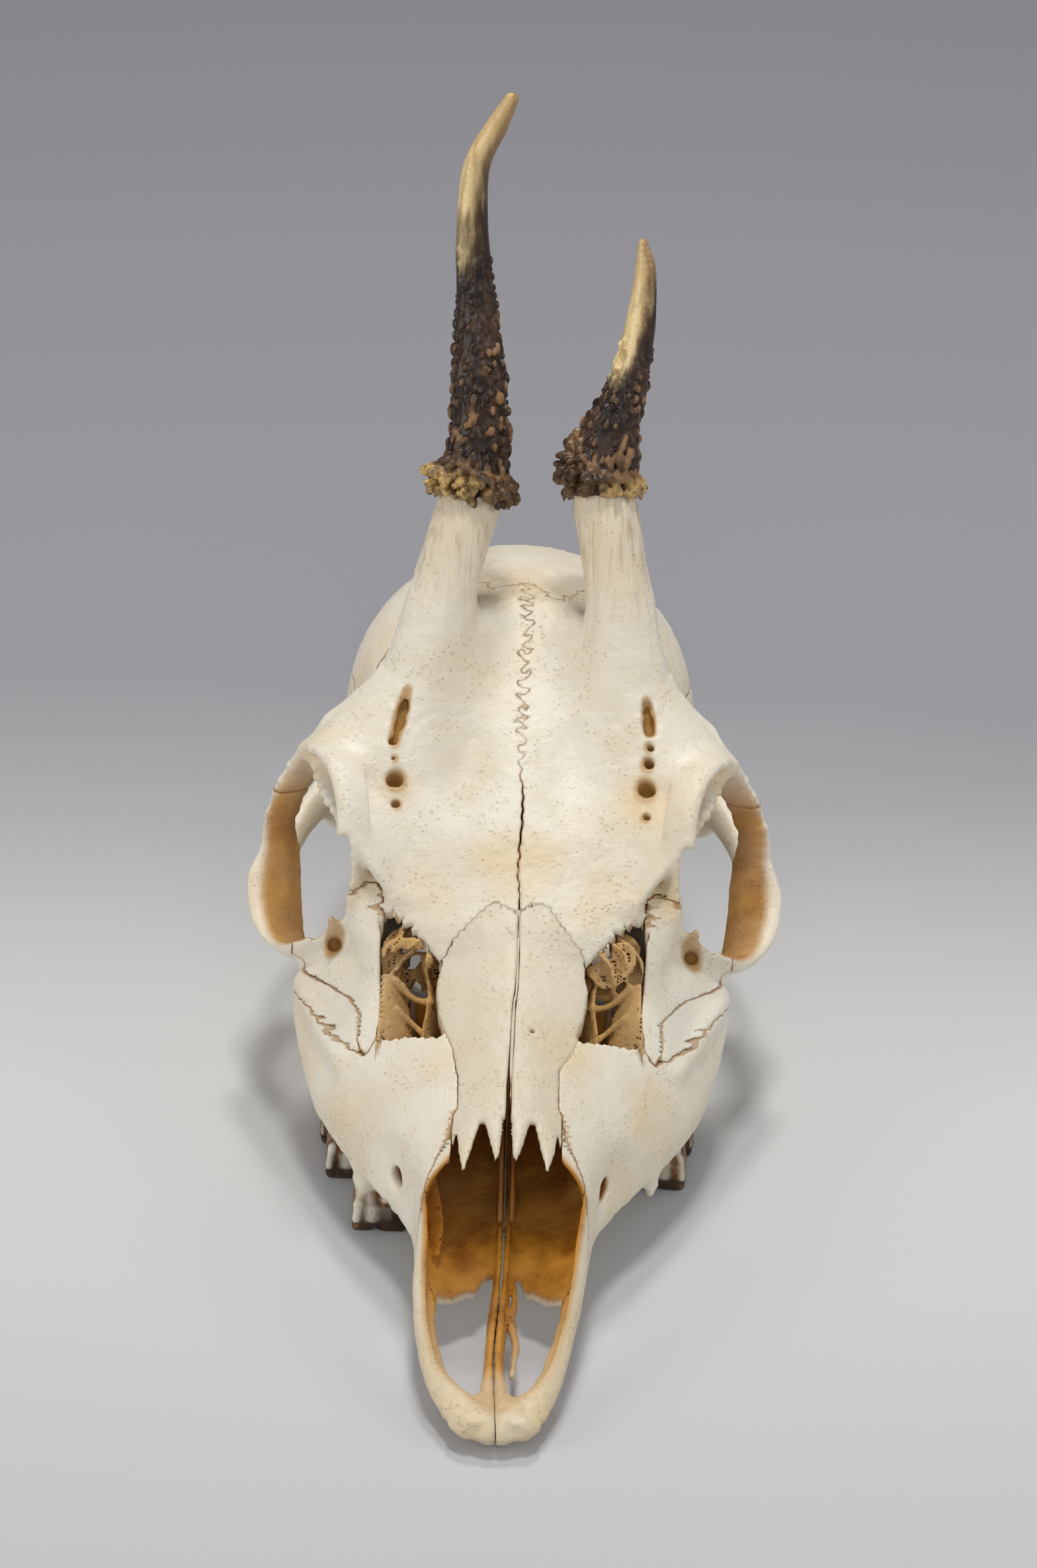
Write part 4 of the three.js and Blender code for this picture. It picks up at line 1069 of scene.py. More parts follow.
def bone_regions():
    """Each bone's name and the space it may fill, in the order in which they are parted."""
    both = (("left", 1), ("right", -1))
    side_box = {1: lambda shape: shape, -1: mirror}
    rows = [(f"nasal_{name}", [nasal(side)]) for name, side in both]
    muzzle = [(-5, -5), (21.5, -5), (24.5, 5.5), (29, 9.5), (35, 15.6), (39.4, 23), (42, 26.6),
              (44.2, 28.6), (50, 31), (50, 42), (-5, 42)]
    for name, side in both:
        shape = side_box[side](prism(muzzle, 0.05, 70, "x", wander=0.3, bump=3.0, seed=61))
        rows.append((f"premaxilla_{name}", [shape]))
    rows += [(f"lacrimal_{name}", [lacrimal(side)]) for name, side in both]
    rows += [(f"frontal_{name}", [frontal(side)]) for name, side in both]
    rows += [(f"zygomatic_{name}", [zygomatic(side)]) for name, side in both]
    rows += [(f"temporal_{name}", temporal(side)) for name, side in both]
    rows.append(("parietal", [prism([(120, 47), (150, 54), (168, 52), (177, 58), (182, 90), (110, 90)], -60,
                                    60, "x", wander=0.7)]))
    rows.append(("occipital", [prism([(160, -5), (220, -5), (220, 90), (176, 90), (172, 58), (170, 52),
                                      (168, 26), (160, 18)],
                                     -60, 60, "x", wander=0.6, seed=3)]))
    jaw = [(10, -5), (113, -5), (111, 17), (100, 24), (94, 34), (90, 60), (10, 60)]
    for name, side in both:
        rows.append((f"maxilla_{name}", [side_box[side](prism(jaw, 0.05, 70, "x", wander=0.4, seed=71))]))
    rows.append(("skull_base", None))
    return rows


# ---- Meshes from fields ---------------------------------------------------------------------------

CORNERS = [(i, j, k) for i in (0, 1) for j in (0, 1) for k in (0, 1)]
EDGES = [(a, b) for a in range(8) for b in range(a + 1, 8)
         if sum(p != q for p, q in zip(CORNERS[a], CORNERS[b])) == 1]


def sampled(f, points):
    """The field and its gradient at points, given in steps of the grid."""
    cell = np.clip(np.floor(points).astype(np.int32), 0, np.array(f.shape) - 2)
    t = (points - cell).astype(F)
    i, j, k = cell.T
    c = {corner: f[i + corner[0], j + corner[1], k + corner[2]] for corner in CORNERS}
    u, v, w = t.T
    x = {(b, d): c[0, b, d] * (1 - u) + c[1, b, d] * u for b in (0, 1) for d in (0, 1)}
    dx = {(b, d): c[1, b, d] - c[0, b, d] for b in (0, 1) for d in (0, 1)}
    y = {d: x[0, d] * (1 - v) + x[1, d] * v for d in (0, 1)}
    gx = (dx[0, 0] * (1 - v) + dx[1, 0] * v) * (1 - w) + (dx[0, 1] * (1 - v) + dx[1, 1] * v) * w
    gy = (x[1, 0] - x[0, 0]) * (1 - w) + (x[1, 1] - x[0, 1]) * w
    return y[0] * (1 - w) + y[1] * w, np.stack([gx, gy, y[1] - y[0]], 1)


def surface(solid, bound=None):
    """A mesh of quads round the solid, cut by the bound. Where both meet, its vertices lie on the
    crease. Points are in steps of the grid."""
    both = solid.copy() if bound is None else np.maximum(solid, bound)
    for axis in range(3):
        ends = [slice(None)] * 3
        for end in (0, -1):
            ends[axis] = end
            both[tuple(ends)] = np.maximum(both[tuple(ends)], 0.2)
    inside = both < 0
    count = np.zeros([n - 1 for n in both.shape], np.int8)
    for a, b, c in CORNERS:
        count += inside[a : a + count.shape[0], b : b + count.shape[1], c : c + count.shape[2]]
    cells = np.argwhere((count > 0) & (count < 8)).astype(np.int32)
    index = np.full(count.shape, -1, np.int32)
    i, j, k = cells.T
    index[i, j, k] = np.arange(len(cells))
    values = [both[i + a, j + b, k + c] for a, b, c in CORNERS]
    total, crossed = np.zeros((len(cells), 3), F), np.zeros(len(cells), F)
    for a, b in EDGES:
        cross = (values[a] < 0) != (values[b] < 0)
        t = np.where(cross, values[a] / np.where(cross, values[a] - values[b], 1), 0)
        step = np.array(CORNERS[b], F) - np.array(CORNERS[a], F)
        total += np.where(cross[:, None], np.array(CORNERS[a], F) + t[:, None] * step, 0)
        crossed += cross
    points = cells + total / crossed[:, None]
    crease = np.zeros(len(cells), bool)
    if bound is not None:
        def changes(f):
            signs = sum((f[i + a, j + b, k + c] < 0).astype(np.int8) for a, b, c in CORNERS)
            return (signs > 0) & (signs < 8)

        crease = changes(solid) & changes(bound)
    for _ in range(3):
        f, g = sampled(both, points)
        size = np.maximum((g * g).sum(1), 1e-3)
        move = -(f / size)[:, None] * g
        if crease.any():
            p = points[crease]
            f1, g1 = sampled(solid, p)
            f2, g2 = sampled(bound, p)
            a, b, c = (g1 * g1).sum(1), (g1 * g2).sum(1), (g2 * g2).sum(1)
            det = a * c - b * b
            fine = det > 0.15 * a * c + 1e-6
            det = np.where(fine, det, 1)
            k1, k2 = (c * f1 - b * f2) / det, (a * f2 - b * f1) / det
            both_move = -(k1[:, None] * g1 + k2[:, None] * g2)
            move[crease] = np.where(fine[:, None], both_move, move[crease])
        move = np.clip(move, -0.5, 0.5)
        points = np.clip(points + 0.9 * move, cells + 0.02, cells + 0.98)
    quads = []
    for axis in range(3):
        b, c = (axis + 1) % 3, (axis + 2) % 3
        low = [slice(None)] * 3
        high = [slice(None)] * 3
        low[axis], high[axis] = slice(0, -1), slice(1, None)
        for other in (b, c):
            low[other] = high[other] = slice(1, -1)
        first = inside[tuple(low)]
        where = np.argwhere(first != inside[tuple(high)])
        outward = first[tuple(where.T)]
        where[:, b] += 1
        where[:, c] += 1
        ring = []
        for db, dc in ((-1, -1), (0, -1), (0, 0), (-1, 0)):
            place = where.copy()
            place[:, b] += db
            place[:, c] += dc
            ring.append(index[tuple(place.T)])
        quad = np.stack(ring, 1)
        quad[~outward] = quad[~outward][:, ::-1]
        quads.append(quad)
    return points, np.concatenate(quads)


def without_crumbs(points, quads, least=0.03):
    """The mesh without its smallest loose parts."""
    label = np.arange(len(points))
    a = np.concatenate([quads[:, 0], quads[:, 1], quads[:, 2]])
    b = np.concatenate([quads[:, 1], quads[:, 2], quads[:, 3]])
    for _ in range(200):
        low = np.minimum(label[a], label[b])
        before = label.copy()
        np.minimum.at(label, a, low)
        np.minimum.at(label, b, low)
        label = label[label]
        label = label[label]
        if (label == before).all():
            break
    sizes = np.bincount(label, minlength=len(points))
    keep = sizes[label] >= least * len(points)
    number = np.cumsum(keep) - 1
    kept = keep[quads[:, 0]]
    return points[keep], number[quads[kept]]


def normals_of(points, quads):
    p = points[quads]
    n = np.cross(p[:, 2] - p[:, 0], p[:, 3] - p[:, 1])
    total = np.zeros_like(points)
    for i in range(4):
        for axis in range(3):
            total[:, axis] += np.bincount(quads[:, i], n[:, axis], len(points))
    return total / np.maximum(np.linalg.norm(total, axis=1, keepdims=True), 1e-9)


def make_piece(name, points, quads, values, material, node_name):
    """A Blender object from millimetre points, riding on the body and standing for its CAD node."""
    mesh = bpy.data.meshes.new(name)
    mesh.vertices.add(len(points))
    placed = (points - np.array((0, FRONT, 0))) * 0.001
    mesh.vertices.foreach_set("co", placed.astype(F).ravel())
    mesh.loops.add(4 * len(quads))
    mesh.loops.foreach_set("vertex_index", quads.astype(np.int32).ravel())
    mesh.polygons.add(len(quads))
    mesh.polygons.foreach_set("loop_start", np.arange(0, 4 * len(quads), 4, dtype=np.int32))
    mesh.update(calc_edges=True)
    mesh.shade_smooth()
    for key, column in values.items():
        mesh.attributes.new(key, "FLOAT", "POINT").data.foreach_set("value", column.astype(F))
    mesh.materials.append(material)
    piece = bpy.data.objects.new(name, mesh)
    bpy.context.scene.collection.objects.link(piece)
    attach(piece, "root")
    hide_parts(node_name)


# ---- Materials ----------------------------------------------------------------------------------------


def bone_material():
    material, tree, shader, place = new_material("bone")
    stain_and_recess_shade, painted_recess_shade, seam, stalk = [attribute(tree, name) for name in ("stain_and_recess_shade", "painted_recess_shade", "seam", "stalk")]
    enamel, warm, greyed = attribute(tree, "enamel"), attribute(tree, "warm"), attribute(tree, "greyed")
    broad = noise(tree, place, 45.0, 4.0, 0.55)
    patchy = noise(tree, place, 150.0, 5.0, 0.6)
    fine = noise(tree, place, 1000.0, 4.0, 0.65)
    colour = mixed(tree, ramp(tree, broad, 0.35, 0.68), rgb(230, 223, 206), rgb(221, 210, 186))
    colour = mixed(tree, ramp(tree, patchy, 0.48, 0.75, 0.0, 0.4), colour, rgb(218, 200, 162))
    colour = mixed(tree, product(tree, warm, ramp(tree, patchy, 0.2, 0.65, 0.45, 0.95)), colour,
                   rgb(222, 194, 142))
    colour = mixed(tree, ramp(tree, fine, 0.56, 0.78, 0.0, 0.3), colour, rgb(186, 164, 124))
    # Nasal bones, the front of the frontals and the muzzle's front are made greyer and darker.
    colour = mixed(tree, product(tree, greyed, 0.6), colour, rgb(186, 178, 158))
    # Streaks run up the pedicles, which lean back.
    upright = stretched(tree, place, (1, 1, 1), (math.radians(33), 0, 0))
    streak = noise(tree, stretched(tree, upright, (1, 1, 0.05)), 1100.0, 3.0, 0.55)
    streaks = product(tree, stalk, ramp(tree, streak, 0.48, 0.72, 0.0, 0.55))
    colour = mixed(tree, product(tree, stalk, 0.4), colour, rgb(222, 200, 158))
    colour = mixed(tree, streaks, colour, rgb(176, 146, 96))
    # Recesses are darkened brown as painted shade. Hollows hold a brown stain, deepest in the nose and the
    # foramina, and the deepest recesses take that brown as painted shade too.
    colour = mixed(tree, ramp(tree, painted_recess_shade, 0.0, 1.0, 0.0, 0.8), colour, rgb(180, 140, 80))
    brown = mixed(tree, ramp(tree, patchy, 0.3, 0.7), rgb(200, 140, 50), rgb(158, 98, 24))
    brown = mixed(tree, product(tree, warm, 0.75), brown, rgb(186, 152, 92))
    colour = mixed(tree, product(tree, stain_and_recess_shade, ramp(tree, broad, 0.3, 0.6, 0.93, 1.0)), colour, brown)
    # Enamel is paler, and darker towards its foot at the floor.
    foot = node(tree, "SeparateXYZ", Vector=place).outputs[2]
    dirt = noise(tree, stretched(tree, place, (1, 1, 0.35)), 520.0, 4.0, 0.6)
    dirt = ramp(tree, maths(tree, "ADD", dirt, ramp(tree, foot, 0.0, 0.011, 0.2, 0.0)), 0.42, 0.66)
    tooth_colour = mixed(tree, dirt, rgb(156, 112, 62), rgb(64, 38, 17))
    colour = mixed(tree, enamel, colour, tooth_colour)
    line = maths(tree, "SUBTRACT", 1.0, ramp(tree, seam, 0.04, 0.22))
    colour = mixed(tree, product(tree, line, 0.75), colour, rgb(162, 116, 56))
    tree.links.new(colour, shader.inputs["Base Color"])
    gloss = ramp(tree, patchy, 0.3, 0.7, 0.36, 0.52)
    tree.links.new(maths(tree, "SUBTRACT", gloss, product(tree, enamel, 0.05)), shader.inputs["Roughness"])
    tree.links.new(ramp(tree, stain_and_recess_shade, 0.1, 0.6, 0.08, 0.0), shader.inputs["Subsurface Weight"])
    shader.inputs["Subsurface Radius"].default_value = (0.0013, 0.0010, 0.0007)
    shader.inputs["Subsurface Scale"].default_value = 1.0
    tree.links.new(ramp(tree, stain_and_recess_shade, 0.1, 0.8, 0.42, 0.06), shader.inputs["Specular IOR Level"])
    pores = node(tree, "TexVoronoi", Vector=place, Scale=1100.0).outputs["Distance"]
    pits = product(tree, ramp(tree, pores, 0.05, 0.32, -1.0, 0.0), ramp(tree, patchy, 0.42, 0.6))
    height = maths(tree, "ADD", product(tree, fine, 0.8), product(tree, pits, 0.8))
    height = maths(tree, "ADD", height, product(tree, patchy, 1.0))
    height = maths(tree, "ADD", height, product(tree, product(tree, streak, stalk), 2.0))
    bump = node(tree, "Bump", Height=height, Strength=0.9, Distance=0.00024)
    tree.links.new(bump.outputs[0], shader.inputs["Normal"])
    return material


def antler_material():
    material, tree, shader, place = new_material("antler")
    tip, bead, burr = attribute(tree, "tip"), attribute(tree, "bead"), attribute(tree, "burr")
    hollow, bright, shade = attribute(tree, "painted_recess_shade"), attribute(tree, "bright"), attribute(tree, "shade")
    streaks = noise(tree, stretched(tree, place, (1, 1, 0.1)), 800.0, 4.0, 0.6)
    patchy = noise(tree, place, 170.0, 4.0, 0.6)
    fine = noise(tree, place, 900.0, 3.0, 0.6)
    dark = mixed(tree, ramp(tree, patchy, 0.35, 0.68), rgb(32, 19, 10), rgb(62, 40, 23))
    dark = mixed(tree, ramp(tree, streaks, 0.52, 0.74, 0.0, 0.5), dark, rgb(122, 90, 58))
    # The worn pale is brightest on the front-left, a painted highlight, and painted shade darkens it on the
    # other sides.
    worn = mixed(tree, ramp(tree, streaks, 0.42, 0.7, 0.0, 0.6), rgb(238, 212, 154), rgb(168, 126, 72))
    worn = mixed(tree, product(tree, shade, ramp(tree, streaks, 0.3, 0.6, 0.7, 1.0)), worn, rgb(84, 60, 36))
    worn = mixed(tree, product(tree, bright, 0.6), worn, rgb(198, 160, 104))
    colour = mixed(tree, product(tree, bead, ramp(tree, patchy, 0.36, 0.62, 0.2, 0.8)), dark,
                   rgb(162, 122, 80))
    # The dark coat is worn away in streaks, and further down on the front-left, where the pale is partly a
    # painted highlight.
    streaky = maths(tree, "ADD", tip, product(tree, maths(tree, "SUBTRACT", 0.55, streaks), 0.8))
    colour = mixed(tree, ramp(tree, streaky, 0.15, 0.85), colour, worn)
    colour = mixed(tree, product(tree, burr, ramp(tree, fine, 0.36, 0.6, 0.2, 1.0)), colour,
                   rgb(214, 176, 108))
    # Crevices are painted near-black: painted shade.
    colour = mixed(tree, product(tree, hollow, 0.8), colour, rgb(28, 16, 9))
    tree.links.new(colour, shader.inputs["Base Color"])
    tree.links.new(ramp(tree, tip, 0.0, 1.0, 0.34, 0.24), shader.inputs["Roughness"])
    tree.links.new(ramp(tree, tip, 0.0, 1.0, 0.4, 0.5), shader.inputs["Specular IOR Level"])
    height = maths(tree, "ADD", product(tree, streaks, 1.6), noise(tree, place, 1500.0, 3.0))
    bump = node(tree, "Bump", Height=height, Strength=0.6, Distance=0.0002)
    tree.links.new(bump.outputs[0], shader.inputs["Normal"])
    return material


# ---- Bones as pieces ----------------------------------------------------------------------------------


def blurred(f, reach):
    """A field averaged twice over boxes of "reach" steps each way."""
    for _ in range(2):
        for axis in range(3):
            wide = [(0, 0)] * 3
            wide[axis] = (reach + 1, reach)
            total = np.cumsum(np.pad(f, wide, mode="edge"), axis=axis, dtype=F)
            high, low = [slice(None)] * 3, [slice(None)] * 3
            high[axis], low[axis] = slice(2 * reach + 1, None), slice(0, -2 * reach - 1)
            f = (total[tuple(high)] - total[tuple(low)]) / F(2 * reach + 1)
    return f


def rise_between(value, low, high):
    t = np.clip((value - low) / (high - low), 0, 1)
    return t * t * (3 - 2 * t)


def asymmetry(points):
    """The small bends that keep a real skull from being a mirror image."""
    x, y, z = points.T
    shift = np.zeros_like(points)
    shift[:, 0] = 0.5 * value_noise(x, y, z, 45, 1) - 0.9 * np.exp(-((y - 18) / 14) ** 2)
    shift[:, 0] -= 0.055 * x * rise_between(-y, -13, -4)
    shift[:, 1] = 0.4 * value_noise(x, y, z, 40, 2)
    shift[:, 2] = 0.4 * value_noise(x, y, z, 40, 3) * np.clip(z / 6, 0, 1)
    edge = np.clip((46 - np.abs(x)) / 4, 0, 1) * np.clip(y / 3, 0, 1) * np.clip((192 - y) / 4, 0, 1)
    return points + shift * edge[:, None]


# Places that are yellower than the rest: x, y, z, radius, strength.
WARM_PLACES = (
    (0, 97, 50, 9, 0.9), (-20, 108, 56, 6, 0.7), (21, 108, 56, 6, 0.8), (-27, 96, 47, 7, 0.7),
    (27, 96, 47, 7, 0.7),
    (-9, 62, 35, 8, 0.25), (9, 62, 35, 8, 0.35), (0, 78, 42, 6, 0.2), (-14, 92, 48, 8, 0.3),
    (14, 92, 48, 8, 0.4),
    (24, 62, 22, 9, 0.5), (-26, 66, 20, 8, 0.3), (-33, 116, 55, 8, 0.5), (34, 116, 55, 8, 0.5),
    (0, 148, 75, 12, 0.4),
)


def closed(x, y, z):
    """1 where the sutures of the forehead have nearly grown together, 0 elsewhere."""
    return rise_between(y, 108, 114) * rise_between(-np.abs(x), -16, -12) * rise_between(z, 50, 54)


def tight(x, y):
    """1 round the nasal bones and at the muzzle's tip, where the sutures are hair lines."""
    along_nose = rise_between(y, 52, 56) * rise_between(-y, -97, -93)
    return rise_between(-np.abs(x), -17, -15) * (along_nose + rise_between(-y, -16, -10))


def suture_width(skull, cut):
    x, y, z = np.ix_(*[axis[c] for axis, c in zip(skull.axes, cut)])
    return ((1 - 0.65 * closed(x, y, z)) * (1 - 0.5 * tight(x, y))).astype(F)


def make_bones(skull, holes, material):
    fine = skull.f[::2, ::2, ::2]
    # Blurred fills of the solid, from which the painted shade of recesses is worked out.
    filled = np.clip(0.5 - fine / F(2 * STEP), 0, 1)
    near = blurred(filled, max(1, round(0.7 / (2 * STEP))))
    wide = blurred(filled, max(1, round(2.6 / (2 * STEP))))
    nose = loft(NOSE_HOLLOW)[2]
    inner = build_nose(skull)
    points, quads = surface(inner.f)
    points, quads = without_crumbs(points, quads, 0.004)
    finish_bone("vomer_ethmoid", points * STEP + inner.low, quads, np.full(len(points), 4.0), skull, near,
                wide, nose, holes, material)
    gone = np.full(skull.f.shape, FAR, F)
    for name, shapes in bone_regions():
        if shapes is None:
            cut = tuple(slice(0, n) for n in skull.f.shape)
            bound = -gone
        else:
            low = np.min([s[0] for s in shapes], 0)
            high = np.max([s[1] for s in shapes], 0)
            cut, places = skull.window(low, high, 3 * STEP)
            own = None
            for shape in shapes:
                f = np.broadcast_to(shape[2](*places), skull.f[cut].shape)
                own = f if own is None else np.minimum(own, f)
            bound = np.maximum(own, -gone[cut])
            gone[cut] = np.minimum(gone[cut], own)
        bound = np.clip(bound + F(SUTURE / 2) * suture_width(skull, cut), -FAR, FAR)
        points, quads = surface(skull.f[cut], bound)
        points, quads = without_crumbs(points, quads)
        seam = SUTURE / 2 - sampled(bound, points)[0]
        place = (points + np.array([c.start for c in cut])) * STEP + skull.low
        seam = seam + 0.05 * closed(*place.T) + 0.09 * tight(*place.T[:2])
        finish_bone(name, place, quads, seam, skull, near, wide, nose, holes, material)


def ring_inside(x, y, z, normal):
    """1 on the inner faces of the eye's ring, 0 elsewhere, and how far below its middle a place lies."""
    outward = np.stack([np.sign(x), np.ones(len(x)), np.ones(len(x))], 1)
    eye = np.stack([np.abs(x), y, z], 1) - ORBIT_CENTRE
    axis, down = eye @ ORBIT_AXIS, eye @ ORBIT_DOWN
    across = eye - axis[:, None] * ORBIT_AXIS
    out = np.linalg.norm(across, axis=1)
    facing = (normal * outward * across).sum(1) / np.maximum(out, 1)
    face = rise_between(-out, -18.4, -17.2) * rise_between(-facing, -0.1, 0.4) * rise_between(out, 8, 12)
    lean = RING_LEAN(np.arctan2(down, eye @ ORBIT_BACK))
    return face * rise_between(axis, -9.5, -7.5) * rise_between(lean - axis, -4.2, -2.2), down


def on_crowns(x, y, z):
    """1 on the crowns of the cheek teeth, 0 elsewhere."""
    away = np.full(len(x), FAR)
    for tooth_y, length, width, sides in TEETH:
        for s in sides:
            beside = np.abs(x - s * row_middle(tooth_y)) - width * 0.62
            away = np.minimum(away, np.maximum(beside, np.abs(y - tooth_y) - length * 0.52))
    return rise_between(-away, -0.2, 0.2) * rise_between(-z, -CROWN - 0.6, -CROWN + 0.6)


def finish_bone(name, place, quads, seam, skull, near, wide, nose, holes, material):
    """Works out where a bone is stained and where painted shade darkens its recesses, rubs its surface a
    little rough, and makes it a piece.
    """
    x, y, z = place.T
    normal = normals_of(place, quads)
    grid = (place - skull.low) / (2 * STEP)
    close, open_ = sampled(near, grid)[0], sampled(wide, grid)[0]
    inside_nose = nose(x, y, z)
    rough = value_noise(x, y, z, 6, 4)
    stain_and_recess_shade = rise_between(-inside_nose, -1.3, -0.2) * (0.45 + 0.55 * rise_between(y, 6, 34))
    strut = rise_between(-np.abs(x), -2.8, -1.8) * rise_between(y, 7, 16)
    strut = strut * rise_between(-y, -52, -44) * rise_between(-z, -14, -12)
    stain_and_recess_shade = np.maximum(stain_and_recess_shade, 0.95 * strut)
    # Painted shade: places closed in by bone take the stain's brown, and recesses are darkened.
    stain_and_recess_shade = np.maximum(stain_and_recess_shade, 0.9 * rise_between(open_, 0.72, 0.95))
    painted_recess_shade = np.maximum(rise_between(close, 0.66, 0.95), 0.7 * rise_between(open_, 0.58, 0.82))
    holed = np.zeros(len(x))
    # In the foramina the brown is real stain, and the darkening down inside them is painted shade.
    for hx, hy, hz, r in holes:
        below = hz - BROW_SLOPE * (hy - y) - z
        away = np.hypot(x - hx, y - hy - 0.4 * np.maximum(below, 0))
        inside = rise_between(-away, -r * 1.5 - 0.5, -r * 0.9)
        stain_and_recess_shade = np.maximum(stain_and_recess_shade, 0.75 * inside * rise_between(below, 0.2, 1.3))
        painted_recess_shade = np.maximum(painted_recess_shade, 0.85 * inside)
        holed = np.maximum(holed, inside * rise_between(below, 0.1, 0.9))
    # The upper faces of the nasal prongs are clean.
    stain_and_recess_shade = stain_and_recess_shade * (1 - rise_between(z - prong_top(x, y), -1.0, -0.5) * rise_between(-y, -55, -50))
    if name == "vomer_ethmoid":
        stain_and_recess_shade = np.maximum(stain_and_recess_shade * 0.9, 0.75 + 0.15 * rough + 0.25 * rise_between(-z, -26, -22))
    warm = 0.75 * rise_between(-y, -44, -8) + 0.25 * rise_between(value_noise(x, y, z, 16, 6), 0.0, 0.8)
    warm += 0.2 * name.startswith("nasal") + 0.7 * (name == "vomer_ethmoid") * rise_between(z, 22, 26)
    for px, py, pz, reach, strength in WARM_PLACES:
        away = np.sqrt((x - px) ** 2 + (y - py) ** 2 + (z - pz) ** 2) / reach + 0.25 * rough
        warm += strength * rise_between(-away, -1.1, -0.2)
    # The inner faces of the eye's ring are brown below and yellow above.
    inner_face, below = ring_inside(x, y, z, normal)
    stain_and_recess_shade = np.maximum(stain_and_recess_shade, inner_face * (0.2 + 0.76 * rise_between(below, -11, 3)) * (0.9 + 0.1 * rough))
    warm = np.clip(warm * (1 - 0.7 * strut) + 0.15 * inner_face + 0.7 * holed, 0, 1)
    stalk = rise_between(z, 74, 92) * rise_between(-np.abs(np.abs(x) - 12), -9, -7)
    relief = 0.07 * value_noise(x, y, z, 2.2, 7) + 0.05 * value_noise(x, y, z, 1.1, 8)
    relief = relief * rise_between(seam, 0.1, 1.0) + 0.12 * value_noise(x, y, z, 7, 9)
    if name == "vomer_ethmoid":
        relief = relief * 0
    place = asymmetry(place + normal * relief[:, None])
    place[:, 2] = np.maximum(place[:, 2], 0)
    # How much greyer and darker the nasal bones, the front of the frontals and the muzzle's front are made.
    greyed = 0.65 * name.startswith("nasal") + 0.3 * name.startswith("frontal") * rise_between(-y, -118, -96)
    greyed = greyed + 0.5 * name.startswith("premaxilla") * rise_between(-y, -34, -8)
    values = {"stain_and_recess_shade": stain_and_recess_shade, "greyed": np.broadcast_to(greyed, len(x)), "painted_recess_shade": painted_recess_shade,
              "seam": np.clip(seam, 0, 4),
              "enamel": on_crowns(x, y, z), "warm": warm, "stalk": stalk}
    make_piece(name + "_bone", place, quads, values, material, name)


# ---- Antlers ------------------------------------------------------------------------------------------

ANTLERS = {
    "antler_right": {
        "route": [(-9.85, 147.95, 92.75), (-9.2, 149.3, 96.7), (-8.6, 151, 101.8), (-9.1, 154.5, 111.6),
                  (-9.8, 157.8, 121.6),
                  (-10.8, 160.4, 131.8), (-11, 162, 142.4), (-10.1, 162.4, 147.8), (-7.4, 162.4, 153.4),
                  (-5.1, 162, 158.4)],
        "radii": (5.4, 5.0, 4.7, 4.4, 3.4, 2.8, 2.4, 2.15, 1.85, 1.2), "burr": 9.2, "bulge": 0.6,
        "bulge_size": 0.3, "pale": (0.72, 0.07), "seed": 3},
    "antler_left": {
        "route": [(12.62, 147.95, 93.35), (12.5, 149.2, 96.4), (12.7, 150.4, 99.9), (13.5, 151.6, 103.5),
                  (15, 152.8, 107.5),
                  (15.9, 153.9, 110.5), (16.9, 155.6, 115), (17.7, 157.2, 120), (18.2, 158.6, 125.1),
                  (18.3, 159.6, 130.4),
                  (17.7, 160, 134.4)],
        "radii": (5.2, 5.2, 5.2, 4.6, 3.7, 3.3, 2.9, 2.6, 2.2, 1.7, 0.8), "burr": 8.0, "bulge": 0.2,
        "bulge_size": 1.0, "pale": (0.7, 0.17), "seed": 5},
}


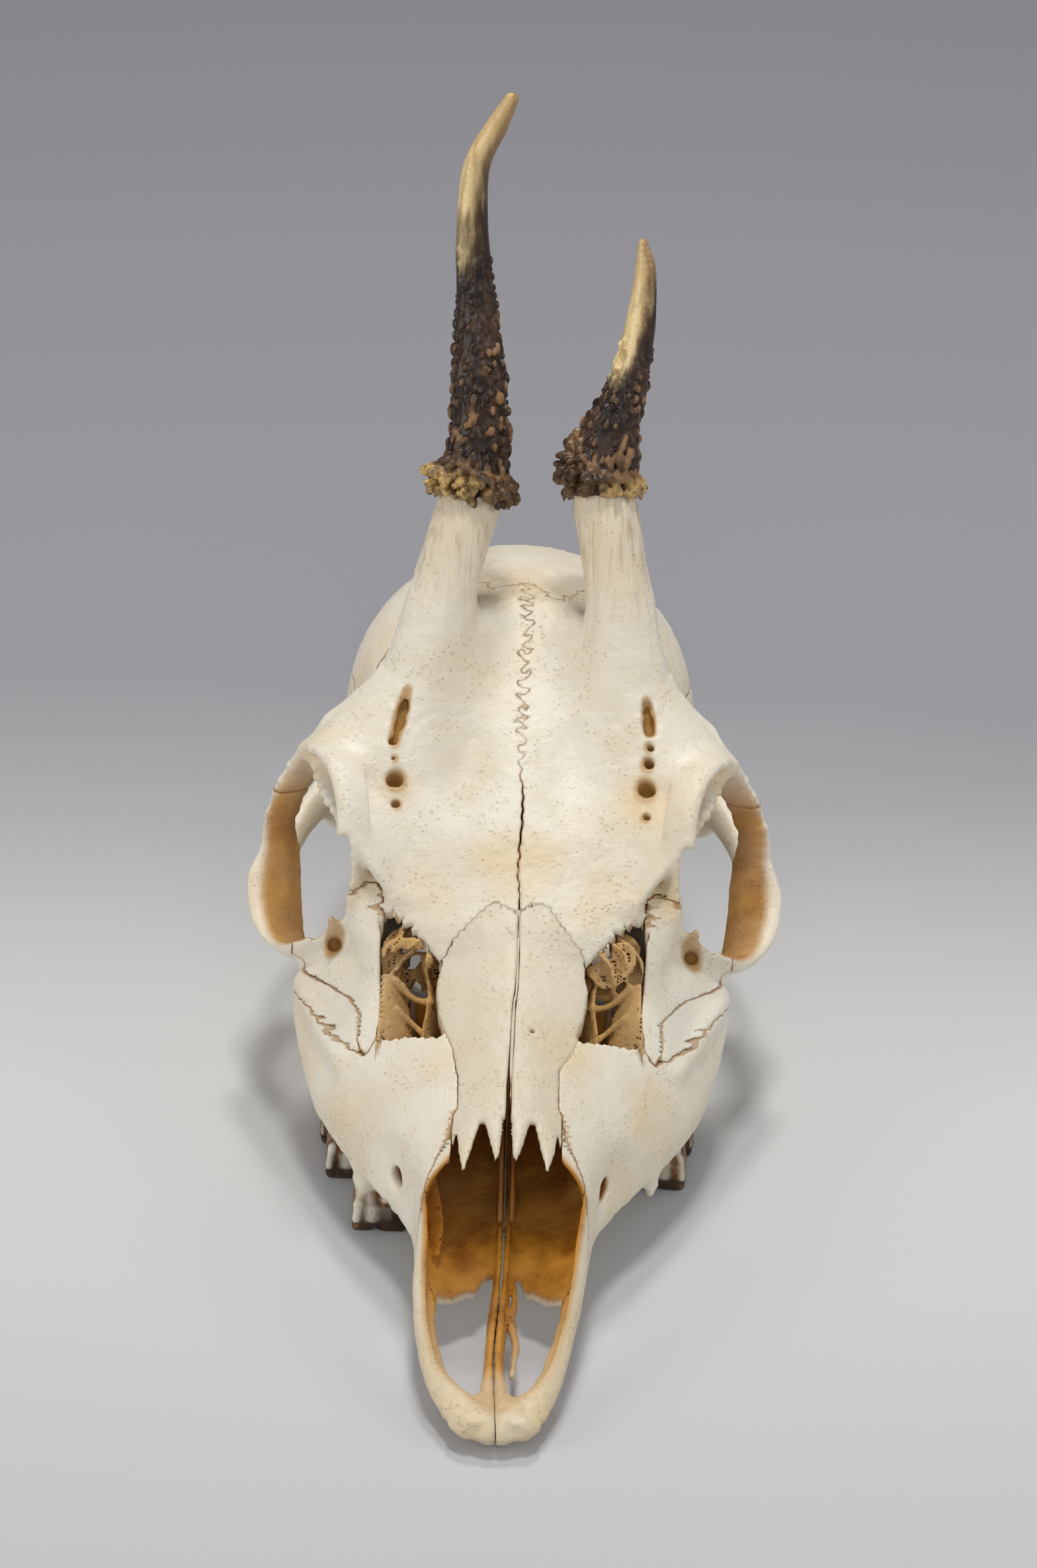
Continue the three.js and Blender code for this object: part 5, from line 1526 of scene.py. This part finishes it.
def make_antler(name, facts, material):
    route = np.array(facts["route"])
    base, top = route[0], route[-1]
    low, high = route.min(0) - 11, route.max(0) + 11
    low[2], high[2] = base[2] - 4, top[2] + 1.6
    v = Volume(low, high, ANTLER_STEP)
    v.add(rod(facts["route"], facts["radii"], 40), 0)
    x, y, z = np.ix_(*v.axes)
    ridges = value_noise(x, y, z, (1.5, 1.5, 16), facts["seed"])
    ridges = ridges + 0.5 * value_noise(x, y, z, (0.8, 0.8, 9), facts["seed"] + 1)
    height = np.clip((top[2] - z) / (top[2] - base[2]), 0, 1)
    v.f -= (0.34 * ridges * rise_between(height, 0.1, 0.7)).astype(F)
    core = v.f.copy()
    rng = np.random.default_rng(facts["seed"])
    centre = along(facts["route"], 200)
    size = spread(facts["radii"], 200)
    lengths = np.concatenate([[0], np.cumsum(np.linalg.norm(np.diff(centre, axis=0), axis=1))])
    whole = lengths[-1]

    def at(length):
        i = int(np.clip(np.searchsorted(lengths, length), 1, 198))
        ahead = unit(centre[i + 1] - centre[i - 1])
        side = unit(np.cross(ahead, (0, 1, 0)))
        return centre[i], size[i], ahead, side, np.cross(ahead, side)

    # The burr: a crooked collar crowded with small knobs, which hang out over the pedicle.
    burr, bulge, bulge_size = facts["burr"], facts["bulge"], facts["bulge_size"]
    for _ in range(230):
        turn = rng.uniform(0, 2 * math.pi)
        extra = bulge_size * max(0, math.cos(turn - bulge)) ** 2
        lift = rng.uniform(0, 1) ** (1.3 - 0.5 * extra) * (4.4 + 5.0 * extra)
        spot, radius, ahead, side, other = at(lift)
        out = side * math.cos(turn) + other * math.sin(turn)
        swell = math.exp(-((lift - 1.6 - 2.4 * extra) / (1.9 + 3.4 * extra)) ** 2)
        reach = radius + (burr - radius) * swell * rng.uniform(0.5, 1.0) * (1 + 0.35 * extra)
        r = rng.uniform(0.5, 0.95)
        drop = rng.uniform(-1.5, 0.3) * (reach > radius + 1.4) * (lift < 2)
        v.add(rod([spot + out * (radius * 0.7) + ahead * 0.6, spot + out * (reach - r) + ahead * drop],
                  (r * 1.15, r)), 0.35)
    # Pearls in streams along the shaft, fewer and smaller towards the tip.
    for _ in range(620):
        t = rng.uniform(0.04, 0.66) ** 1.2
        spot, radius, ahead, side, other = at(t * whole)
        turn = rng.uniform(0, 2 * math.pi)
        fade = max(0, 1 - t / 0.66)
        if rng.random() > 0.2 + fade:
            continue
        out = side * math.cos(turn) + other * math.sin(turn)
        r = rng.uniform(0.35, 0.85) * (0.55 + 0.6 * fade)
        stand = radius - 0.2 * r + rng.uniform(0, 0.55) * fade
        frame_rows = np.array((out, np.cross(ahead, out), ahead))
        v.add(ellipsoid(spot + out * stand, (r * 1.1, r * 0.85, r * rng.uniform(1.0, 1.7)), frame_rows),
              0.3)
    lean = unit(np.array(route[1]) - route[0])
    from_base = [q - F(s) for q, s in zip((x, y, z), base)]
    foot = dot(lean, from_base)
    round_foot = np.sqrt(sum(q**2 for q in from_base) - np.minimum(foot, 0) ** 2)
    v.f = np.maximum(v.f, -foot - 1.6 * rise_between(round_foot, 5.9, 6.9).astype(F))
    # A blurred fill of the antler, which places painted shade in its crevices.
    fine = np.clip(0.5 - v.f / F(2 * ANTLER_STEP), 0, 1)
    near = blurred(fine, max(1, round(0.5 / ANTLER_STEP)))
    points, quads = surface(v.f)
    points, quads = without_crumbs(points, quads)
    place = points * ANTLER_STEP + v.low
    stand = sampled(core, points)[0]
    close = sampled(near, points)[0]
    t = np.clip((place[:, 2] - base[2]) / (top[2] - base[2]), 0, 1)
    middle = np.stack([np.interp(place[:, 2], route[:, 2], route[:, i]) for i in (0, 1)], 1)
    offset = place[:, :2] - middle
    away = np.linalg.norm(offset, axis=1)
    aside = offset / np.maximum(away, 0.5)[:, None]
    turned = np.clip(0.85 * aside[:, 0] + 0.5 * aside[:, 1], -1, 1)
    outward = math.copysign(1, base[0]) * aside[:, 0]
    # Painted highlight: the pale wear reaches further down on the front-left; painted shade darkens the
    # sides turned away from it.
    paler = facts["pale"][0] + facts["pale"][1] * turned + 0.1 * value_noise(*place.T, 9, 11)
    low_down, outer_side = rise_between(-t, -0.14, -0.06), 0.1 + 0.9 * rise_between(outward, -0.45, 0.3)
    values = {"shade": rise_between(turned, -0.85, 0.0), "tip": rise_between(t, paler - 0.16, paler + 0.08),
              "bead": rise_between(stand, 0.35, 0.8) * (1 - 0.8 * rise_between(stand, 0.9, 1.7)),
              "painted_recess_shade": rise_between(close, 0.58, 0.8), "bright": rise_between(t, 0.75, 1.0),
              "burr": rise_between(away, burr - 2.6, burr - 0.6) * low_down * outer_side}
    make_piece(name + "_spike", place, quads, values, material, name)


# ---- The scene ----------------------------------------------------------------------------------------

make_camera()
make_floor()
make_lights()
make_bones(*build_skull(), bone_material())
antler_look = antler_material()
for antler_name, antler_facts in ANTLERS.items():
    make_antler(antler_name, antler_facts, antler_look)
